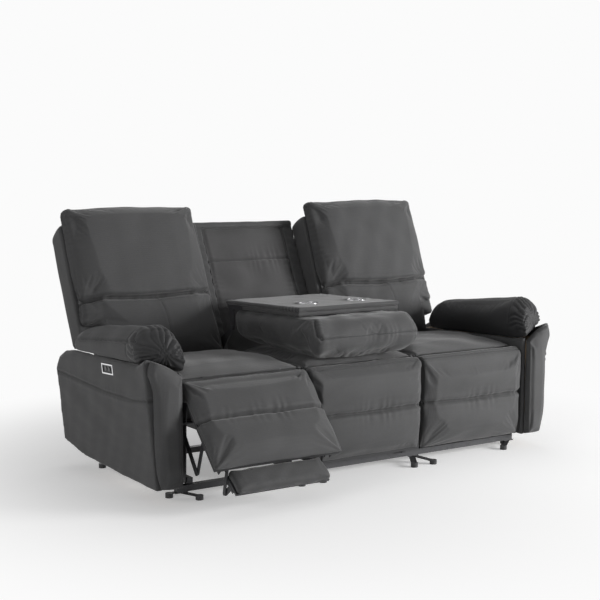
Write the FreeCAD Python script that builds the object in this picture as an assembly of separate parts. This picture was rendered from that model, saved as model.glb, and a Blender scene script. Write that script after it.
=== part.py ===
import FreeCAD, Part
import math
import os

# Three-seat reclining sofa with a middle back that folds down into a console.
# Lengths in millimetres, angles in degrees.
# The sizes are laid out with Y = 0 at the closed front covers, X = 0 in the middle
# of the sofa and Z = 0 on the floor; export moves Y = 0 to the middle of the outline.

V = FreeCAD.Vector

# main sizes
SEAT_PITCH = 556.0          # width of one seat, and the distance between seat centres
ARM_WIDTH = 156.0           # width of one arm over its pad
SEAT_GAP = 1.5              # gap between two seats and between a seat and an arm
ORIGIN_BACK = 386.0         # distance from the front covers to the frame's origin

# pose at rest, as photographed
LEFT_OPEN = 44.6            # left footrest, from closed
LEFT_RECLINE = 3.0          # left back, from upright

# footrest and its hinge at the front of the seat
HINGE_Y = 28.0
HINGE_Z = 415.0
ROLL_R = 42.0               # rolled crest about the footrest hinge
ROLL_CLEAR = 3.0            # gap between the roll and the seat cushion round it
BOARD_T = 15.0              # footrest board
BOARD_TOP = 50.0            # from the hinge down to the board's upper edge
BOARD_END = 345.0           # from the hinge down to the board's lower edge
BOARD_REAR = 12.0           # the board's rear face behind the hinge line
BOARD_IN = 10.0             # footrest board's side inside its seat's edge
BOARD_HALF = SEAT_PITCH / 2 - BOARD_IN
COVER_END = 356.0           # leg cover's lower edge
COVER_SEAM = 155.0          # sewn channel between the two rows
COVER_EDGE = 22.0           # rounding of the leg cover's sides
COVER_CROWN = 12.0

# seat cushion
SEAT_DECK_Z = 380.0         # top of the deck under the cushion
SEAT_FRONT_Z = 456.0        # cushion top at the crest seam
SEAT_REAR_Y = 605.0
SEAT_REAR_Z = 447.0
SEAT_CROWN = 30.0
SEAT_EDGE = 24.0
DECK_T = 14.0

# steel under-structure
TUBE_Z = 30.0               # underside of the cross tubes
TUBE_H = 24.0
TUBE_DEPTH = 28.0
TUBE_WALL = 2.0
FRONT_TUBE_Y = 55.0
REAR_TUBE_Y = 600.0
RAIL_W = 24.0               # base rails and seat rails
RAIL_SIDE = 70.0            # inner side of the rails from the seat's edge
RAIL_IN = SEAT_PITCH / 2 - RAIL_SIDE
RAIL_FRONT = 64.0
RAIL_REAR = 690.0
PLATE_T = 4.0               # pivot plates, brackets and links
LAYER_GAP = 2.0             # side gap between neighbouring links
PIN_R = 5.0
PIN_CLEAR = 0.05            # running clearance of a pivot
OPEN_CLEAR = 0.3            # clearance of a pivot where a linkage is opened

# footrest linkage
LIFT_BACK = 46.0            # lift pivot behind the footrest hinge
LIFT_DOWN = 130.0           # lift pivot below the footrest hinge
LINK_DOWN = 200.0           # tie pivot down the footrest from its hinge
LINK_BACK = 28.0            # tie pivot behind the hinge line
SHAFT_R = 8.0
CRANK_R = 70.0
CRANK_START = 45.0          # crank behind straight down, closed
FLIP_PIVOT_DOWN = 333.0     # flip arm pivot on the footrest
FLIP_PIVOT_BACK = 22.0
FLIP_L = 98.0
FLIP_CLOSED = 111.6         # flip arm's angle to the footrest, closed
FLIP_RATIO = 1.2            # flip arm's turn per turn of the footrest
FLIP_TILT = 8.0             # flip pad's lean to the footrest
FLIP_LONG = 104.0
FLIP_THICK = 40.0
FLIP_PASS = 1.0             # gap between a flip arm and the base rail it passes
FLIP_SIDE = 7.0             # flip pad's side inside the rails
FLIP_HALF = RAIL_IN - FLIP_SIDE
FLIP_BOARD_T = 9.0
FLIP_STAND = 69.3           # flip arm pivot behind the pad's centre
FLIP_BACKSET = 1.2          # flip arm pivot above the pad's centre

# actuator
SLIDER_PER_RAD = 63.0       # carriage travel per radian of the footrest
ACT_RAIL_Z = 176.0
ACT_RAIL_H = 22.0
ACT_RAIL_HALF = 14.0
SLOT_HALF = 8.0
TONGUE_HALF = 6.0
CARRIAGE_REACH = 146.0      # from the crank slot to the carriage block

# recliner backs
BACK_Y = 655.0              # recline hinge
BACK_Z = 345.0
BACK_RAKE = 21.7            # lean of the upright back
BACK_LAP = 86.0             # a back's reach over its arm
BACK_OUTER = SEAT_PITCH * 1.5 + BACK_LAP
BACK_GAP = 2.0              # from the seat's inner edge to the back's
BACK_INNER = SEAT_PITCH / 2 - BACK_GAP
BACK_LOW_GAP = 5.0          # from the arm to the back's side below the arm top
BACK_LOW_OUTER = SEAT_PITCH * 1.5 - BACK_LOW_GAP
SHELL_FRONT = 10.0          # shell's front face before the hinge line
SHELL_REAR_TOP = 100.0
SHELL_REAR_LOW = 98.0
SHELL_LOW = 45.0
SHELL_WING_LOW = 190.0
SHELL_TOP = 708.0
SHELL_EDGE = 20.0
CUSHION_LOW = 72.0
CUSHION_WING_LOW = 245.0
CUSHION_SEAM = 345.0
CUSHION_TOP = 785.0
CUSHION_EDGE = 34.0
SEAM_SMILE = 24.0
SOFT_GAP = 0.3
CUSHION_IN = 6.0            # cushion sides inside the shell sides

# arms
ARM_IN = SEAT_PITCH * 1.5
ARM_OUT_TOP = ARM_IN + ARM_WIDTH
ARM_FLARE = 42.0            # arm's side at the floor inside its side at the shoulder
ARM_OUT_LOW = ARM_OUT_TOP - ARM_FLARE
ARM_LOW_Z = 62.0
ARM_SHOULDER_Z = 505.0
ARM_REAR_Y = 852.0
ARM_RISE = 80.0             # length over which the arm's top rises to its front
PANEL_T = 30.0
INNER_T = 22.0
FRONT_T = 34.0
PAD_FRONT_Z = 662.0
PAD_REAR_Z = 598.0
PAD_REAR_Y = 664.0
ARM_KNEE_Y = PAD_REAR_Y - 24.0      # where the arm's underside starts to rise
ARM_BEND_Y = ARM_REAR_Y - 100.0     # where the arm's top starts to turn down
ARM_TURN_Y = ARM_REAR_Y - 40.0

# power switch
SWITCH_Y = 316.0
SWITCH_Z = 473.0
SWITCH_LONG = 100.0
SWITCH_HIGH = 40.0
SWITCH_LIP = 4.0
BUTTON_R = 9.0
BUTTON_PITCH = 30.0
BUTTON_TRAVEL = 2.0
BUTTON_CLEAR = 0.4

# console
CON_Y = 645.0
CON_Z = 540.0
CON_TILT = 1.94             # table's rise to the front when it is down
CON_TURN = 113.0            # from down to folded up
TABLE_SIDE = 26.0           # table's side inside the seat's edge
TABLE_HALF = SEAT_PITCH / 2 - TABLE_SIDE
TABLE_FRONT = 520.0
TABLE_REAR = -60.0
TABLE_TOP = 120.0
TABLE_T = 18.0
CORE_T = 18.0
CORE_INSET = 4.0
PILLOW_SIDE = 8.0           # pillow's side inside the seat's edge
PILLOW_HALF = SEAT_PITCH / 2 - PILLOW_SIDE
PILLOW_FRONT = 668.0
PILLOW_EDGE = 48.0
CUP_R = 41.0
CUP_WALL = 2.0
CUP_RIM_R = 50.0
CUP_RIM_T = 3.0
CUP_DEPTH = 58.0
CUP_T = 358.0               # cup centre ahead of the console hinge
CUP_LEFT_X = -102.0
CUP_RIGHT_X = 143.0
CON_HUB = 12.0
ARM_BEHIND = 34.0           # hinge arm's strap behind and ahead of the console hinge
ARM_AHEAD = 80.0
PIVOT_LOW = 74.0            # bracket flange's lower end below the console hinge

# middle back
PANEL_D = 143.0             # recessed panel behind the console hinge
RAIL_D = 136.5
BACK_D = 172.0
COVER_D = 180.0
POST_SIDE = 10.0            # middle back's side inside the seat's edge
POST_W = 52.0
POST_OUT = SEAT_PITCH / 2 - POST_SIDE
POST_IN = POST_OUT - POST_W
POST_LOW = -190.0
RECESS_TOP = 522.0
MID_TOP = 551.0
BOX_REAR = 716.0            # rear edge of those boards
BOX_T = 18.0                # side boards of the middle seat box
BOX_IN = POST_IN - BOX_T

# feet
GLIDE_R = 15.0
GLIDE_H = 12.0
FOOT_T = 4.0
FOOT_BAR = 26.0


# helpers for plain solids
def box(x0, x1, y0, y1, z0, z1):
    return Part.makeBox(abs(x1 - x0), abs(y1 - y0), abs(z1 - z0), V(min(x0, x1), min(y0, y1), min(z0, z1)))


def cyl(x0, x1, y, z, r):
    return Part.makeCylinder(r, abs(x1 - x0), V(min(x0, x1), y, z), V(1, 0, 0))


def upright_cyl(x, y, z0, z1, r):
    return Part.makeCylinder(r, z1 - z0, V(x, y, z0), V(0, 0, 1))


def plate(points, x0, x1):
    # flat plate with its outline in Y and Z
    x = min(x0, x1)
    wire = Part.makePolygon([V(x, p[0], p[1]) for p in points] + [V(x, points[0][0], points[0][1])])
    return Part.Face(wire).extrude(V(abs(x1 - x0), 0, 0))


def strip(points, r, x0, x1):
    # flat bar with round ends along a route in Y and Z
    solid = None
    for a, b in zip(points[:-1], points[1:]):
        run = math.hypot(b[0] - a[0], b[1] - a[1])
        ny = -(b[1] - a[1]) / run * r
        nz = (b[0] - a[0]) / run * r
        bar = plate([(a[0] + ny, a[1] + nz), (b[0] + ny, b[1] + nz), (b[0] - ny, b[1] - nz),
                     (a[0] - ny, a[1] - nz)], x0, x1)
        bar = bar.fuse([cyl(x0, x1, a[0], a[1], r), cyl(x0, x1, b[0], b[1], r)])
        solid = bar if solid is None else solid.fuse(bar)
    return solid.removeSplitter()


def rect_tube(x0, x1, y0, y1, z0, z1, wall):
    # square tube along X
    outer = box(x0, x1, y0, y1, z0, z1)
    return outer.cut(box(x0 - 1, x1 + 1, y0 + wall, y1 - wall, z0 + wall, z1 - wall))


def turned(shape, y, z, angle):
    # positive angles lift what lies in front of the axis
    copy = shape.copy()
    copy.rotate(V(0, y, z), V(-1, 0, 0), angle)
    return copy


def mirrored(shape, x=0.0):
    return shape.mirror(V(x, 0, 0), V(1, 0, 0))


def both_sides(make, centre):
    # make(side) gives a solid for side +1 measured from the centre; the other side is its mirror
    one = make()
    one.translate(V(centre, 0, 0))
    return [one, mirrored(one, centre)]


# helpers for cushions: outlines of lines and arcs, lofted
def inset(points, d):
    # moves each edge of a closed outline inwards by d
    if d < 1e-9:
        return list(points)
    n = len(points)
    area = sum(points[i][0] * points[(i + 1) % n][1] - points[(i + 1) % n][0] * points[i][1] for i in range(n))
    turn = 1.0 if area > 0 else -1.0
    result = []
    for i in range(n):
        p0 = points[i - 1]
        p1 = points[i]
        p2 = points[(i + 1) % n]
        l1 = math.hypot(p1[0] - p0[0], p1[1] - p0[1])
        l2 = math.hypot(p2[0] - p1[0], p2[1] - p1[1])
        n1 = (-(p1[1] - p0[1]) / l1 * turn, (p1[0] - p0[0]) / l1 * turn)
        n2 = (-(p2[1] - p1[1]) / l2 * turn, (p2[0] - p1[0]) / l2 * turn)
        k = 1.0 + n1[0] * n2[0] + n1[1] * n2[1]
        k = max(k, 0.5)
        result.append((p1[0] + (n1[0] + n2[0]) / k * d, p1[1] + (n1[1] + n2[1]) / k * d))
    return result


def arc_wire(points, sags, to3d):
    # closed wire; a positive sag bows its edge outwards
    n = len(points)
    area = sum(points[i][0] * points[(i + 1) % n][1] - points[(i + 1) % n][0] * points[i][1] for i in range(n))
    turn = -1.0 if area > 0 else 1.0
    edges = []
    for i in range(n):
        a = points[i]
        b = points[(i + 1) % n]
        if abs(sags[i]) < 1e-6:
            edges.append(Part.LineSegment(to3d(a), to3d(b)).toShape())
            continue
        run = math.hypot(b[0] - a[0], b[1] - a[1])
        nx = -(b[1] - a[1]) / run * turn
        ny = (b[0] - a[0]) / run * turn
        mid = ((a[0] + b[0]) / 2 + nx * sags[i], (a[1] + b[1]) / 2 + ny * sags[i])
        edges.append(Part.Arc(to3d(a), to3d(mid), to3d(b)).toShape())
    return Part.Wire(edges)


def stations(low, high, edge, inner):
    # places along an axis with the rounding at each end: (place, share from -1 to 1, inset)
    centre = (low + high) / 2
    half = (high - low) / 2
    rounds = []
    for share in (0.0, 0.15, 0.5, 1.0):
        a = share * edge
        rounds.append((a, edge - math.sqrt(edge * edge - (edge - a) ** 2)))
    rows = [(low + a, d) for a, d in rounds]
    rows += [(centre + half * f, 0.0) for f in inner]
    rows += [(high - a, d) for a, d in reversed(rounds)]
    return [(x, (x - centre) / half, d) for x, d in rows]


def loft_x(rows, profile, to_yz):
    # closed cushion lofted across the sofa; profile(share, x) gives points and sags
    wires = []
    for x, share, d in rows:
        points, sags = profile(share, x)
        wires.append(arc_wire(inset(points, d), sags, lambda p, x=x: V(x, *to_yz(p))))
    return Part.makeLoft(wires, True, True)


def crown(share, power=2.0):
    return max(0.0, 1.0 - abs(share) ** power)


MID_ROWS = (-0.6, -0.3, 0.0, 0.3, 0.6)


# exported nodes
NODES = {}


def save(name, solids):
    if not isinstance(solids, (list, tuple)):
        solids = [solids]
    flat = []
    for s in solids:
        flat += s.Solids
    NODES.setdefault(name, []).extend(flat)


SIDES = (("left", -1), ("right", 1))
UNITS = {}
for side, sign in SIDES:
    UNITS[side] = sign * SEAT_PITCH
SEAT_HALF = SEAT_PITCH / 2 - SEAT_GAP / 2
RAIL_OUT = RAIL_IN + RAIL_W
PLATE_X = RAIL_OUT                                  # pivot plates
EAR_X = PLATE_X + PLATE_T + LAYER_GAP               # footrest brackets
TIE_X = EAR_X + PLATE_T + LAYER_GAP                 # tie links
LIFT_X = TIE_X + PLATE_T + LAYER_GAP                # lift arms
FLIP_LUG_X = RAIL_IN - FLIP_PASS + LAYER_GAP        # lugs that carry the flip arms
LIFT_Y = HINGE_Y + LIFT_BACK
LIFT_Z = HINGE_Z - LIFT_DOWN
BASE_RAIL_Z = TUBE_Z + TUBE_H
SEAT_RAIL_TOP = SEAT_DECK_Z - DECK_T - SOFT_GAP
SEAT_RAIL_Z = SEAT_RAIL_TOP - RAIL_W


def open_angle(side):
    return LEFT_OPEN if side == "left" else 0.0


def recline_angle(side):
    return LEFT_RECLINE if side == "left" else 0.0


# footrest frame: s runs down from the hinge, n forwards, closed
def foot_yz(p):
    return (HINGE_Y - p[1], HINGE_Z - p[0])


def on_circle(angle, r):
    return (-r * math.sin(math.radians(angle)), r * math.cos(math.radians(angle)))


def cover_profile(share, d):
    # d draws the sides in; the faces against the board stay where they are
    k = crown(share, 3.0)
    r = ROLL_R - d * 0.5
    board_front = BOARD_T - BOARD_REAR + SOFT_GAP
    points = [
        on_circle(114.0, r),
        on_circle(-16.0, r),
        (COVER_SEAM, 35.0 - d * 0.6),
        (COVER_SEAM + 6.0, 35.0 - d * 0.6),
        (COVER_END - 16.0, 24.0 - d * 0.7),
        (COVER_END - d * 0.4, 9.0 - d * 0.2),
        (BOARD_END + 2.0, board_front),
        (BOARD_TOP - 2.0, board_front),
        (BOARD_TOP - 2.0, -BOARD_REAR),
        on_circle(225.0, r),
    ]
    sags = [
        r * (1 - math.cos(math.radians(65.0))),
        5.0 + COVER_CROWN * 0.6 * k,
        0.0,
        6.0 + COVER_CROWN * k,
        4.0,
        0.5,
        0.0,
        0.0,
        0.0,
        r * (1 - math.cos(math.radians(55.5))),
    ]
    return points, sags


def leg_cover(centre, slots):
    wires = []
    for x, share, d in stations(-SEAT_HALF, SEAT_HALF, COVER_EDGE, MID_ROWS):
        points, sags = cover_profile(share, d)
        wires.append(arc_wire(points, sags, lambda p, x=x: V(x, *foot_yz(p))))
    solid = Part.makeLoft(wires, True, True)
    if slots:
        # slots behind the roll for the hinge plates, hidden in the seat's hollow
        slot_in = PLATE_X - LAYER_GAP
        slot_out = EAR_X + PLATE_T + LAYER_GAP
        wedge = [(-8, 0), (30, 62), (90, 62), (90, -62), (-8, -62)]
        wedge = [(HINGE_Y + y, HINGE_Z + z) for y, z in wedge]
        for s in (1, -1):
            cut = plate(wedge, s * slot_in, s * slot_out)
            cut = cut.fuse(cyl(s * slot_in, s * slot_out, HINGE_Y, HINGE_Z, 20.0))
            solid = solid.cut(cut)
    solid.translate(V(centre, 0, 0))
    return solid


def seat_profile(share, x):
    k = crown(share)
    r = ROLL_R + ROLL_CLEAR
    low = (HINGE_Y + math.sqrt(r * r - 9.0), HINGE_Z + 3.0)
    high = (HINGE_Y + math.sqrt(r * r - (SEAT_FRONT_Z - HINGE_Z) ** 2), SEAT_FRONT_Z)
    chord = math.hypot(high[0] - low[0], high[1] - low[1])
    concave = r - math.sqrt(r * r - chord * chord / 4)
    points = [
        low,
        high,
        (SEAT_REAR_Y, SEAT_REAR_Z),
        (SEAT_REAR_Y + 3.0, SEAT_DECK_Z),
        (low[0], SEAT_DECK_Z),
    ]
    sags = [-concave, SEAT_CROWN * (0.45 + 0.55 * k), 4.0, 0.0, 0.0]
    return points, sags


def seat_cushion(centre):
    rows = stations(-SEAT_HALF, SEAT_HALF, SEAT_EDGE, MID_ROWS)
    # the front hollow and the flat base keep their place; only the crown draws in
    wires = []
    for x, share, d in rows:
        points, sags = seat_profile(share, x)
        drawn = inset(points, d)
        drawn[0] = points[0]
        drawn[1] = (points[1][0] + d * 0.3, points[1][1] - d * 0.3)
        chord = math.hypot(drawn[1][0] - drawn[0][0], drawn[1][1] - drawn[0][1])
        r = ROLL_R + ROLL_CLEAR
        sags = list(sags)
        sags[0] = -(r - math.sqrt(r * r - chord * chord / 4))
        drawn[3] = (drawn[3][0], SEAT_DECK_Z)
        drawn[4] = points[4]
        wires.append(arc_wire(drawn, sags, lambda p, x=x: V(x, p[0], p[1])))
    solid = Part.makeLoft(wires, True, True)
    solid.translate(V(centre, 0, 0))
    return solid


# footrests and their linkage
def pin_hole(x0, x1, y, z, r):
    return cyl(x0 - 1.0, x1 + 1.0, y, z, r)


def footrest(side):
    centre = UNITS[side]
    angle = open_angle(side)
    board_yz = [foot_yz(p) for p in (
        (BOARD_TOP, BOARD_T - BOARD_REAR), (BOARD_END, BOARD_T - BOARD_REAR),
        (BOARD_END, -BOARD_REAR), (BOARD_TOP, -BOARD_REAR))]
    board = plate(board_yz, centre - BOARD_HALF, centre + BOARD_HALF)
    save("footrest_board_" + side, turned(board, HINGE_Y, HINGE_Z, angle))
    save("footrest_cover_" + side, turned(leg_cover(centre, True), HINGE_Y, HINGE_Z, angle))

    def bracket():
        tie = foot_yz((LINK_DOWN, -LINK_BACK))
        flip = foot_yz((FLIP_PIVOT_DOWN, -FLIP_PIVOT_BACK))
        ear = plate([foot_yz(p) for p in (
            (64.0, -BOARD_REAR), (BOARD_END, -BOARD_REAR), (BOARD_END, -34.0), (60.0, -34.0))],
            EAR_X, EAR_X + PLATE_T)
        ear = ear.fuse(strip([(HINGE_Y, HINGE_Z), foot_yz((72.0, -24.0))], 10.0, EAR_X, EAR_X + PLATE_T))
        ear = ear.fuse(cyl(EAR_X, EAR_X + PLATE_T, tie[0], tie[1], 9.0))
        flange = plate([foot_yz(p) for p in (
            (70.0, -BOARD_REAR), (BOARD_END, -BOARD_REAR), (BOARD_END, -BOARD_REAR - 3.0), (70.0, -BOARD_REAR - 3.0))],
            FLIP_LUG_X - 2.0, EAR_X + PLATE_T)
        lug_x = FLIP_LUG_X
        lug = plate([foot_yz(p) for p in (
            (FLIP_PIVOT_DOWN - 14.0, -BOARD_REAR - 1.0), (BOARD_END, -BOARD_REAR - 1.0),
            (BOARD_END, -32.0), (FLIP_PIVOT_DOWN - 14.0, -32.0))], lug_x, lug_x + PLATE_T)
        solid = ear.fuse([flange, lug]).removeSplitter()
        room = [(BOARD_TOP - 4.0, 60.0), (BOARD_END, 60.0), (BOARD_END, -BOARD_REAR),
                (BOARD_TOP - 4.0, -BOARD_REAR)]
        solid = solid.cut(plate([foot_yz(p) for p in room], FLIP_LUG_X - 3.0, EAR_X + PLATE_T + 1.0))
        solid = solid.cut(pin_hole(EAR_X, EAR_X + PLATE_T, HINGE_Y, HINGE_Z, PIN_R + PIN_CLEAR))
        solid = solid.fuse(cyl(EAR_X + PLATE_T, TIE_X + PLATE_T + 1.0, tie[0], tie[1], PIN_R))
        solid = solid.fuse(cyl(lug_x - LAYER_GAP - PLATE_T - 1.0, lug_x, flip[0], flip[1], PIN_R))
        return solid

    for solid in both_sides(bracket, centre):
        save("footrest_bracket_" + side, turned(solid, HINGE_Y, HINGE_Z, angle))

    # lift arms stay parallel to the footrest
    end = (LIFT_Y + LINK_BACK, LIFT_Z - LINK_DOWN)

    def lift():
        arm = strip([(LIFT_Y, LIFT_Z), end], 11.0, LIFT_X, LIFT_X + PLATE_T)
        return arm.fuse(cyl(TIE_X - 1.0, LIFT_X, end[0], end[1], PIN_R))

    crank = (
        LIFT_Y + CRANK_R * math.sin(math.radians(CRANK_START)),
        LIFT_Z - CRANK_R * math.cos(math.radians(CRANK_START)),
    )
    crank_out = TONGUE_HALF + LAYER_GAP
    parts = both_sides(lift, centre)
    parts.append(cyl(centre - LIFT_X, centre - crank_out - PLATE_T, LIFT_Y, LIFT_Z, SHAFT_R))
    parts.append(cyl(centre - crank_out, centre + LIFT_X, LIFT_Y, LIFT_Z, SHAFT_R))
    arm = strip([(LIFT_Y, LIFT_Z), crank], 12.0, centre - crank_out - PLATE_T, centre - crank_out)
    parts.append(arm.fuse(cyl(centre - crank_out, centre + TONGUE_HALF + 2.0, crank[0], crank[1], PIN_R)))
    for solid in parts:
        save("lift_arm_" + side, turned(solid, LIFT_Y, LIFT_Z, angle))

    # tie links stay upright
    def tie():
        top = foot_yz((LINK_DOWN, -LINK_BACK))
        bar = strip([end, top], 9.0, TIE_X, TIE_X + PLATE_T)
        bar = bar.cut(pin_hole(TIE_X, TIE_X + PLATE_T, end[0], end[1], PIN_R + PIN_CLEAR))
        return bar.cut(pin_hole(TIE_X, TIE_X + PLATE_T, top[0], top[1], PIN_R + OPEN_CLEAR))

    moved = turned(Part.Vertex(0, end[0], end[1]), LIFT_Y, LIFT_Z, angle)
    for solid in both_sides(tie, centre):
        solid.translate(V(0, moved.Point.y - end[0], moved.Point.z - end[1]))
        save("tie_link_" + side, solid)

    # flip arms on the footrest, and the flip pad that they carry; s and n of the footrest
    swing = math.radians(FLIP_CLOSED - FLIP_RATIO * angle)
    pivot = (FLIP_PIVOT_DOWN, -FLIP_PIVOT_BACK)
    tip = (pivot[0] + FLIP_L * math.cos(swing), pivot[1] - FLIP_L * math.sin(swing))
    arm_x = FLIP_LUG_X - LAYER_GAP - PLATE_T

    def flip():
        bar = strip([foot_yz(pivot), foot_yz(tip)], 8.0, arm_x, arm_x + PLATE_T)
        hub = foot_yz(pivot)
        bar = bar.cut(pin_hole(arm_x, arm_x + PLATE_T, hub[0], hub[1], PIN_R + PIN_CLEAR))
        hub = foot_yz(tip)
        return bar.fuse(cyl(arm_x - LAYER_GAP - PLATE_T, arm_x, hub[0], hub[1], PIN_R))

    for solid in both_sides(flip, centre):
        save("flip_arm_" + side, turned(solid, HINGE_Y, HINGE_Z, angle))

    # pad frame: a along the pad, b out of its face; leant by the tilt about the pad's centre
    mid = (tip[0] + FLIP_BACKSET, tip[1] + FLIP_STAND)
    lean = math.radians(FLIP_TILT)

    def pad_yz(p):
        s = mid[0] + p[0] * math.cos(lean) - p[1] * math.sin(lean)
        n = mid[1] + p[0] * math.sin(lean) + p[1] * math.cos(lean)
        return foot_yz((s, n))

    back = -FLIP_THICK / 2

    def pad_profile(share, x):
        k = crown(share, 4.0)
        h = FLIP_LONG / 2
        points = [(-h, back + FLIP_BOARD_T), (-h, 6.0), (-h + 14.0, 15.0 + 4.0 * k),
                  (h - 14.0, 15.0 + 4.0 * k), (h, 6.0), (h, back + FLIP_BOARD_T)]
        return points, [1.0, 4.0, 2.0, 4.0, 1.0, 0.0]

    rows = stations(-FLIP_HALF, FLIP_HALF, 12.0, (-0.5, 0.0, 0.5))
    wires = []
    for x, share, d in rows:
        points, sags = pad_profile(share, x)
        drawn = inset(points, d)
        drawn[0] = (drawn[0][0], points[0][1])
        drawn[5] = (drawn[5][0], points[5][1])
        drawn[1] = (drawn[1][0], max(drawn[1][1], points[0][1] + 3.0))
        drawn[4] = (drawn[4][0], max(drawn[4][1], points[0][1] + 3.0))
        wires.append(arc_wire(drawn, sags, lambda p, x=x: V(centre + x, *pad_yz(p))))
    save("flip_pad_" + side, turned(Part.makeLoft(wires, True, True), HINGE_Y, HINGE_Z, angle))

    def flip_bracket():
        x1 = arm_x - LAYER_GAP
        x0 = x1 - PLATE_T
        h = FLIP_LONG / 2 - 8.0
        top = foot_yz(tip)
        ear = plate([pad_yz((-h + 20.0, back)), pad_yz((h - 20.0, back)),
                     pad_yz((h - 20.0, back - 10.0)), pad_yz((-h + 20.0, back - 10.0))], x0, x1)
        foot = pad_yz((0.0, back - 6.0))
        ear = ear.fuse(strip([top, foot], 10.0, x0, x1))
        trim = plate([pad_yz((-90.0, back)), pad_yz((90.0, back)), pad_yz((90.0, back + 40.0)),
                      pad_yz((-90.0, back + 40.0))], x0 - 1, x1 + 1)
        ear = ear.cut(trim)
        flange_yz = [pad_yz((-h + 20.0, back)), pad_yz((h - 20.0, back)), pad_yz((h - 20.0, back - 3.0))]
        flange_yz.append(pad_yz((-h + 20.0, back - 3.0)))
        ear = ear.fuse(plate(flange_yz, x0 - 22.0, x1)).removeSplitter()
        return ear.cut(pin_hole(x0, x1, top[0], top[1], PIN_R + PIN_CLEAR))

    for solid in both_sides(flip_bracket, centre):
        save("flip_bracket_" + side, turned(solid, HINGE_Y, HINGE_Z, angle))
    h = FLIP_LONG / 2 - 8.0
    board = plate([pad_yz((-h, back)), pad_yz((h, back)), pad_yz((h, back + FLIP_BOARD_T)),
                   pad_yz((-h, back + FLIP_BOARD_T))],
                  centre - FLIP_HALF + 1.0, centre + FLIP_HALF - 1.0)
    save("flip_bracket_" + side, turned(board, HINGE_Y, HINGE_Z, angle))

    # carriage on the actuator rail, with a slotted tongue round the crank pin
    travel = SLIDER_PER_RAD * math.radians(angle)
    slot_y = crank[0]
    top = ACT_RAIL_Z + ACT_RAIL_H + SOFT_GAP
    slot_low = LIFT_Z - CRANK_R - PIN_R - 2.0
    slot_high = crank[1] + PIN_R + 3.0
    tongue = box(centre - TONGUE_HALF, centre + TONGUE_HALF, slot_y - 22.0,
                 slot_y + CARRIAGE_REACH + 40.0, top + 4.0, slot_high + 8.0)
    tongue = tongue.cut(box(centre - TONGUE_HALF - 1, centre + TONGUE_HALF + 1, slot_y - SLOT_HALF,
                            slot_y + SLOT_HALF, slot_low, slot_high))
    block = box(centre - ACT_RAIL_HALF - 6.0, centre + ACT_RAIL_HALF + 6.0, slot_y + CARRIAGE_REACH,
                slot_y + CARRIAGE_REACH + 50.0, top, top + 24.0)
    carriage = tongue.fuse(block).removeSplitter()
    carriage.translate(V(0, -travel, 0))
    save("carriage_" + side, carriage)


for side, sign in SIDES:
    footrest(side)


# pivot plates, rails, actuator, deck and seat cushion of each recliner
def recliner_frame(side):
    centre = UNITS[side]

    def base_rail():
        return box(RAIL_IN, RAIL_OUT, RAIL_FRONT, RAIL_REAR, BASE_RAIL_Z, BASE_RAIL_Z + RAIL_W)

    def seat_rail():
        return box(RAIL_IN, RAIL_OUT, HINGE_Y + 42.0, SEAT_REAR_Y + 10.0, SEAT_RAIL_Z, SEAT_RAIL_TOP)

    def front_plate():
        knee = (HINGE_Y + 44.0, HINGE_Z - 70.0)
        solid = strip([(HINGE_Y, HINGE_Z), knee], 10.0, PLATE_X, PLATE_X + PLATE_T)
        solid = solid.fuse(strip([knee, (LIFT_Y + 8.0, LIFT_Z), (LIFT_Y + 14.0, BASE_RAIL_Z + 18.5)],
                                 18.0, PLATE_X, PLATE_X + PLATE_T))
        solid = solid.cut(pin_hole(PLATE_X, PLATE_X + PLATE_T, LIFT_Y, LIFT_Z, SHAFT_R + PIN_CLEAR))
        return solid.fuse(cyl(PLATE_X, EAR_X + PLATE_T + 1.0, HINGE_Y, HINGE_Z, PIN_R))

    def rear_plate():
        solid = strip([(BACK_Y - 15.0, BASE_RAIL_Z + 20.5), (BACK_Y, BACK_Z)], 20.0, PLATE_X,
                      PLATE_X + PLATE_T)
        solid = solid.fuse(box(PLATE_X, PLATE_X + PLATE_T, SEAT_REAR_Y - 20.0, BACK_Y - 5.0,
                               SEAT_RAIL_Z - 30.0, SEAT_RAIL_Z + 20.0))
        return solid.fuse(cyl(PLATE_X + PLATE_T, EAR_X + PLATE_T + 1.0, BACK_Y, BACK_Z, PIN_R + 1.0))

    for make in (base_rail, seat_rail, front_plate, rear_plate):
        save("recliner_frame_" + side, both_sides(make, centre))
    cross = ACT_RAIL_Z
    save("recliner_frame_" + side, box(centre - RAIL_OUT, centre + RAIL_OUT, BACK_Y - 24.0, BACK_Y,
                                       cross - 2.0, cross + RAIL_W - 2.0))
    rail = box(centre - ACT_RAIL_HALF, centre + ACT_RAIL_HALF, 150.0, BACK_Y - 24.0, cross,
               cross + ACT_RAIL_H)
    motor = box(centre - 34.0, centre + 34.0, BACK_Y - 170.0, BACK_Y - 70.0, cross + ACT_RAIL_H,
                cross + ACT_RAIL_H + 62.0)
    gear = cyl(centre + 34.0, centre + 116.0, BACK_Y - 120.0, cross + ACT_RAIL_H + 31.0, 24.0)
    save("actuators", rail.fuse([motor, gear]).removeSplitter())
    deck = box(centre - RAIL_OUT - PLATE_T, centre + RAIL_OUT + PLATE_T,
               HINGE_Y + ROLL_R + ROLL_CLEAR + 2.0, SEAT_REAR_Y, SEAT_RAIL_TOP, SEAT_RAIL_TOP + DECK_T)
    save("seat_decks", deck)
    save("seat_cushion_" + side, seat_cushion(centre))


for side, sign in SIDES:
    recliner_frame(side)


# recliner backs: a runs up the back from the hinge, n forwards
def back_yz(side, p):
    lean = math.radians(BACK_RAKE + recline_angle(side))
    return (
        BACK_Y + p[0] * math.sin(lean) - p[1] * math.cos(lean),
        BACK_Z + p[0] * math.cos(lean) + p[1] * math.sin(lean),
    )


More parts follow.
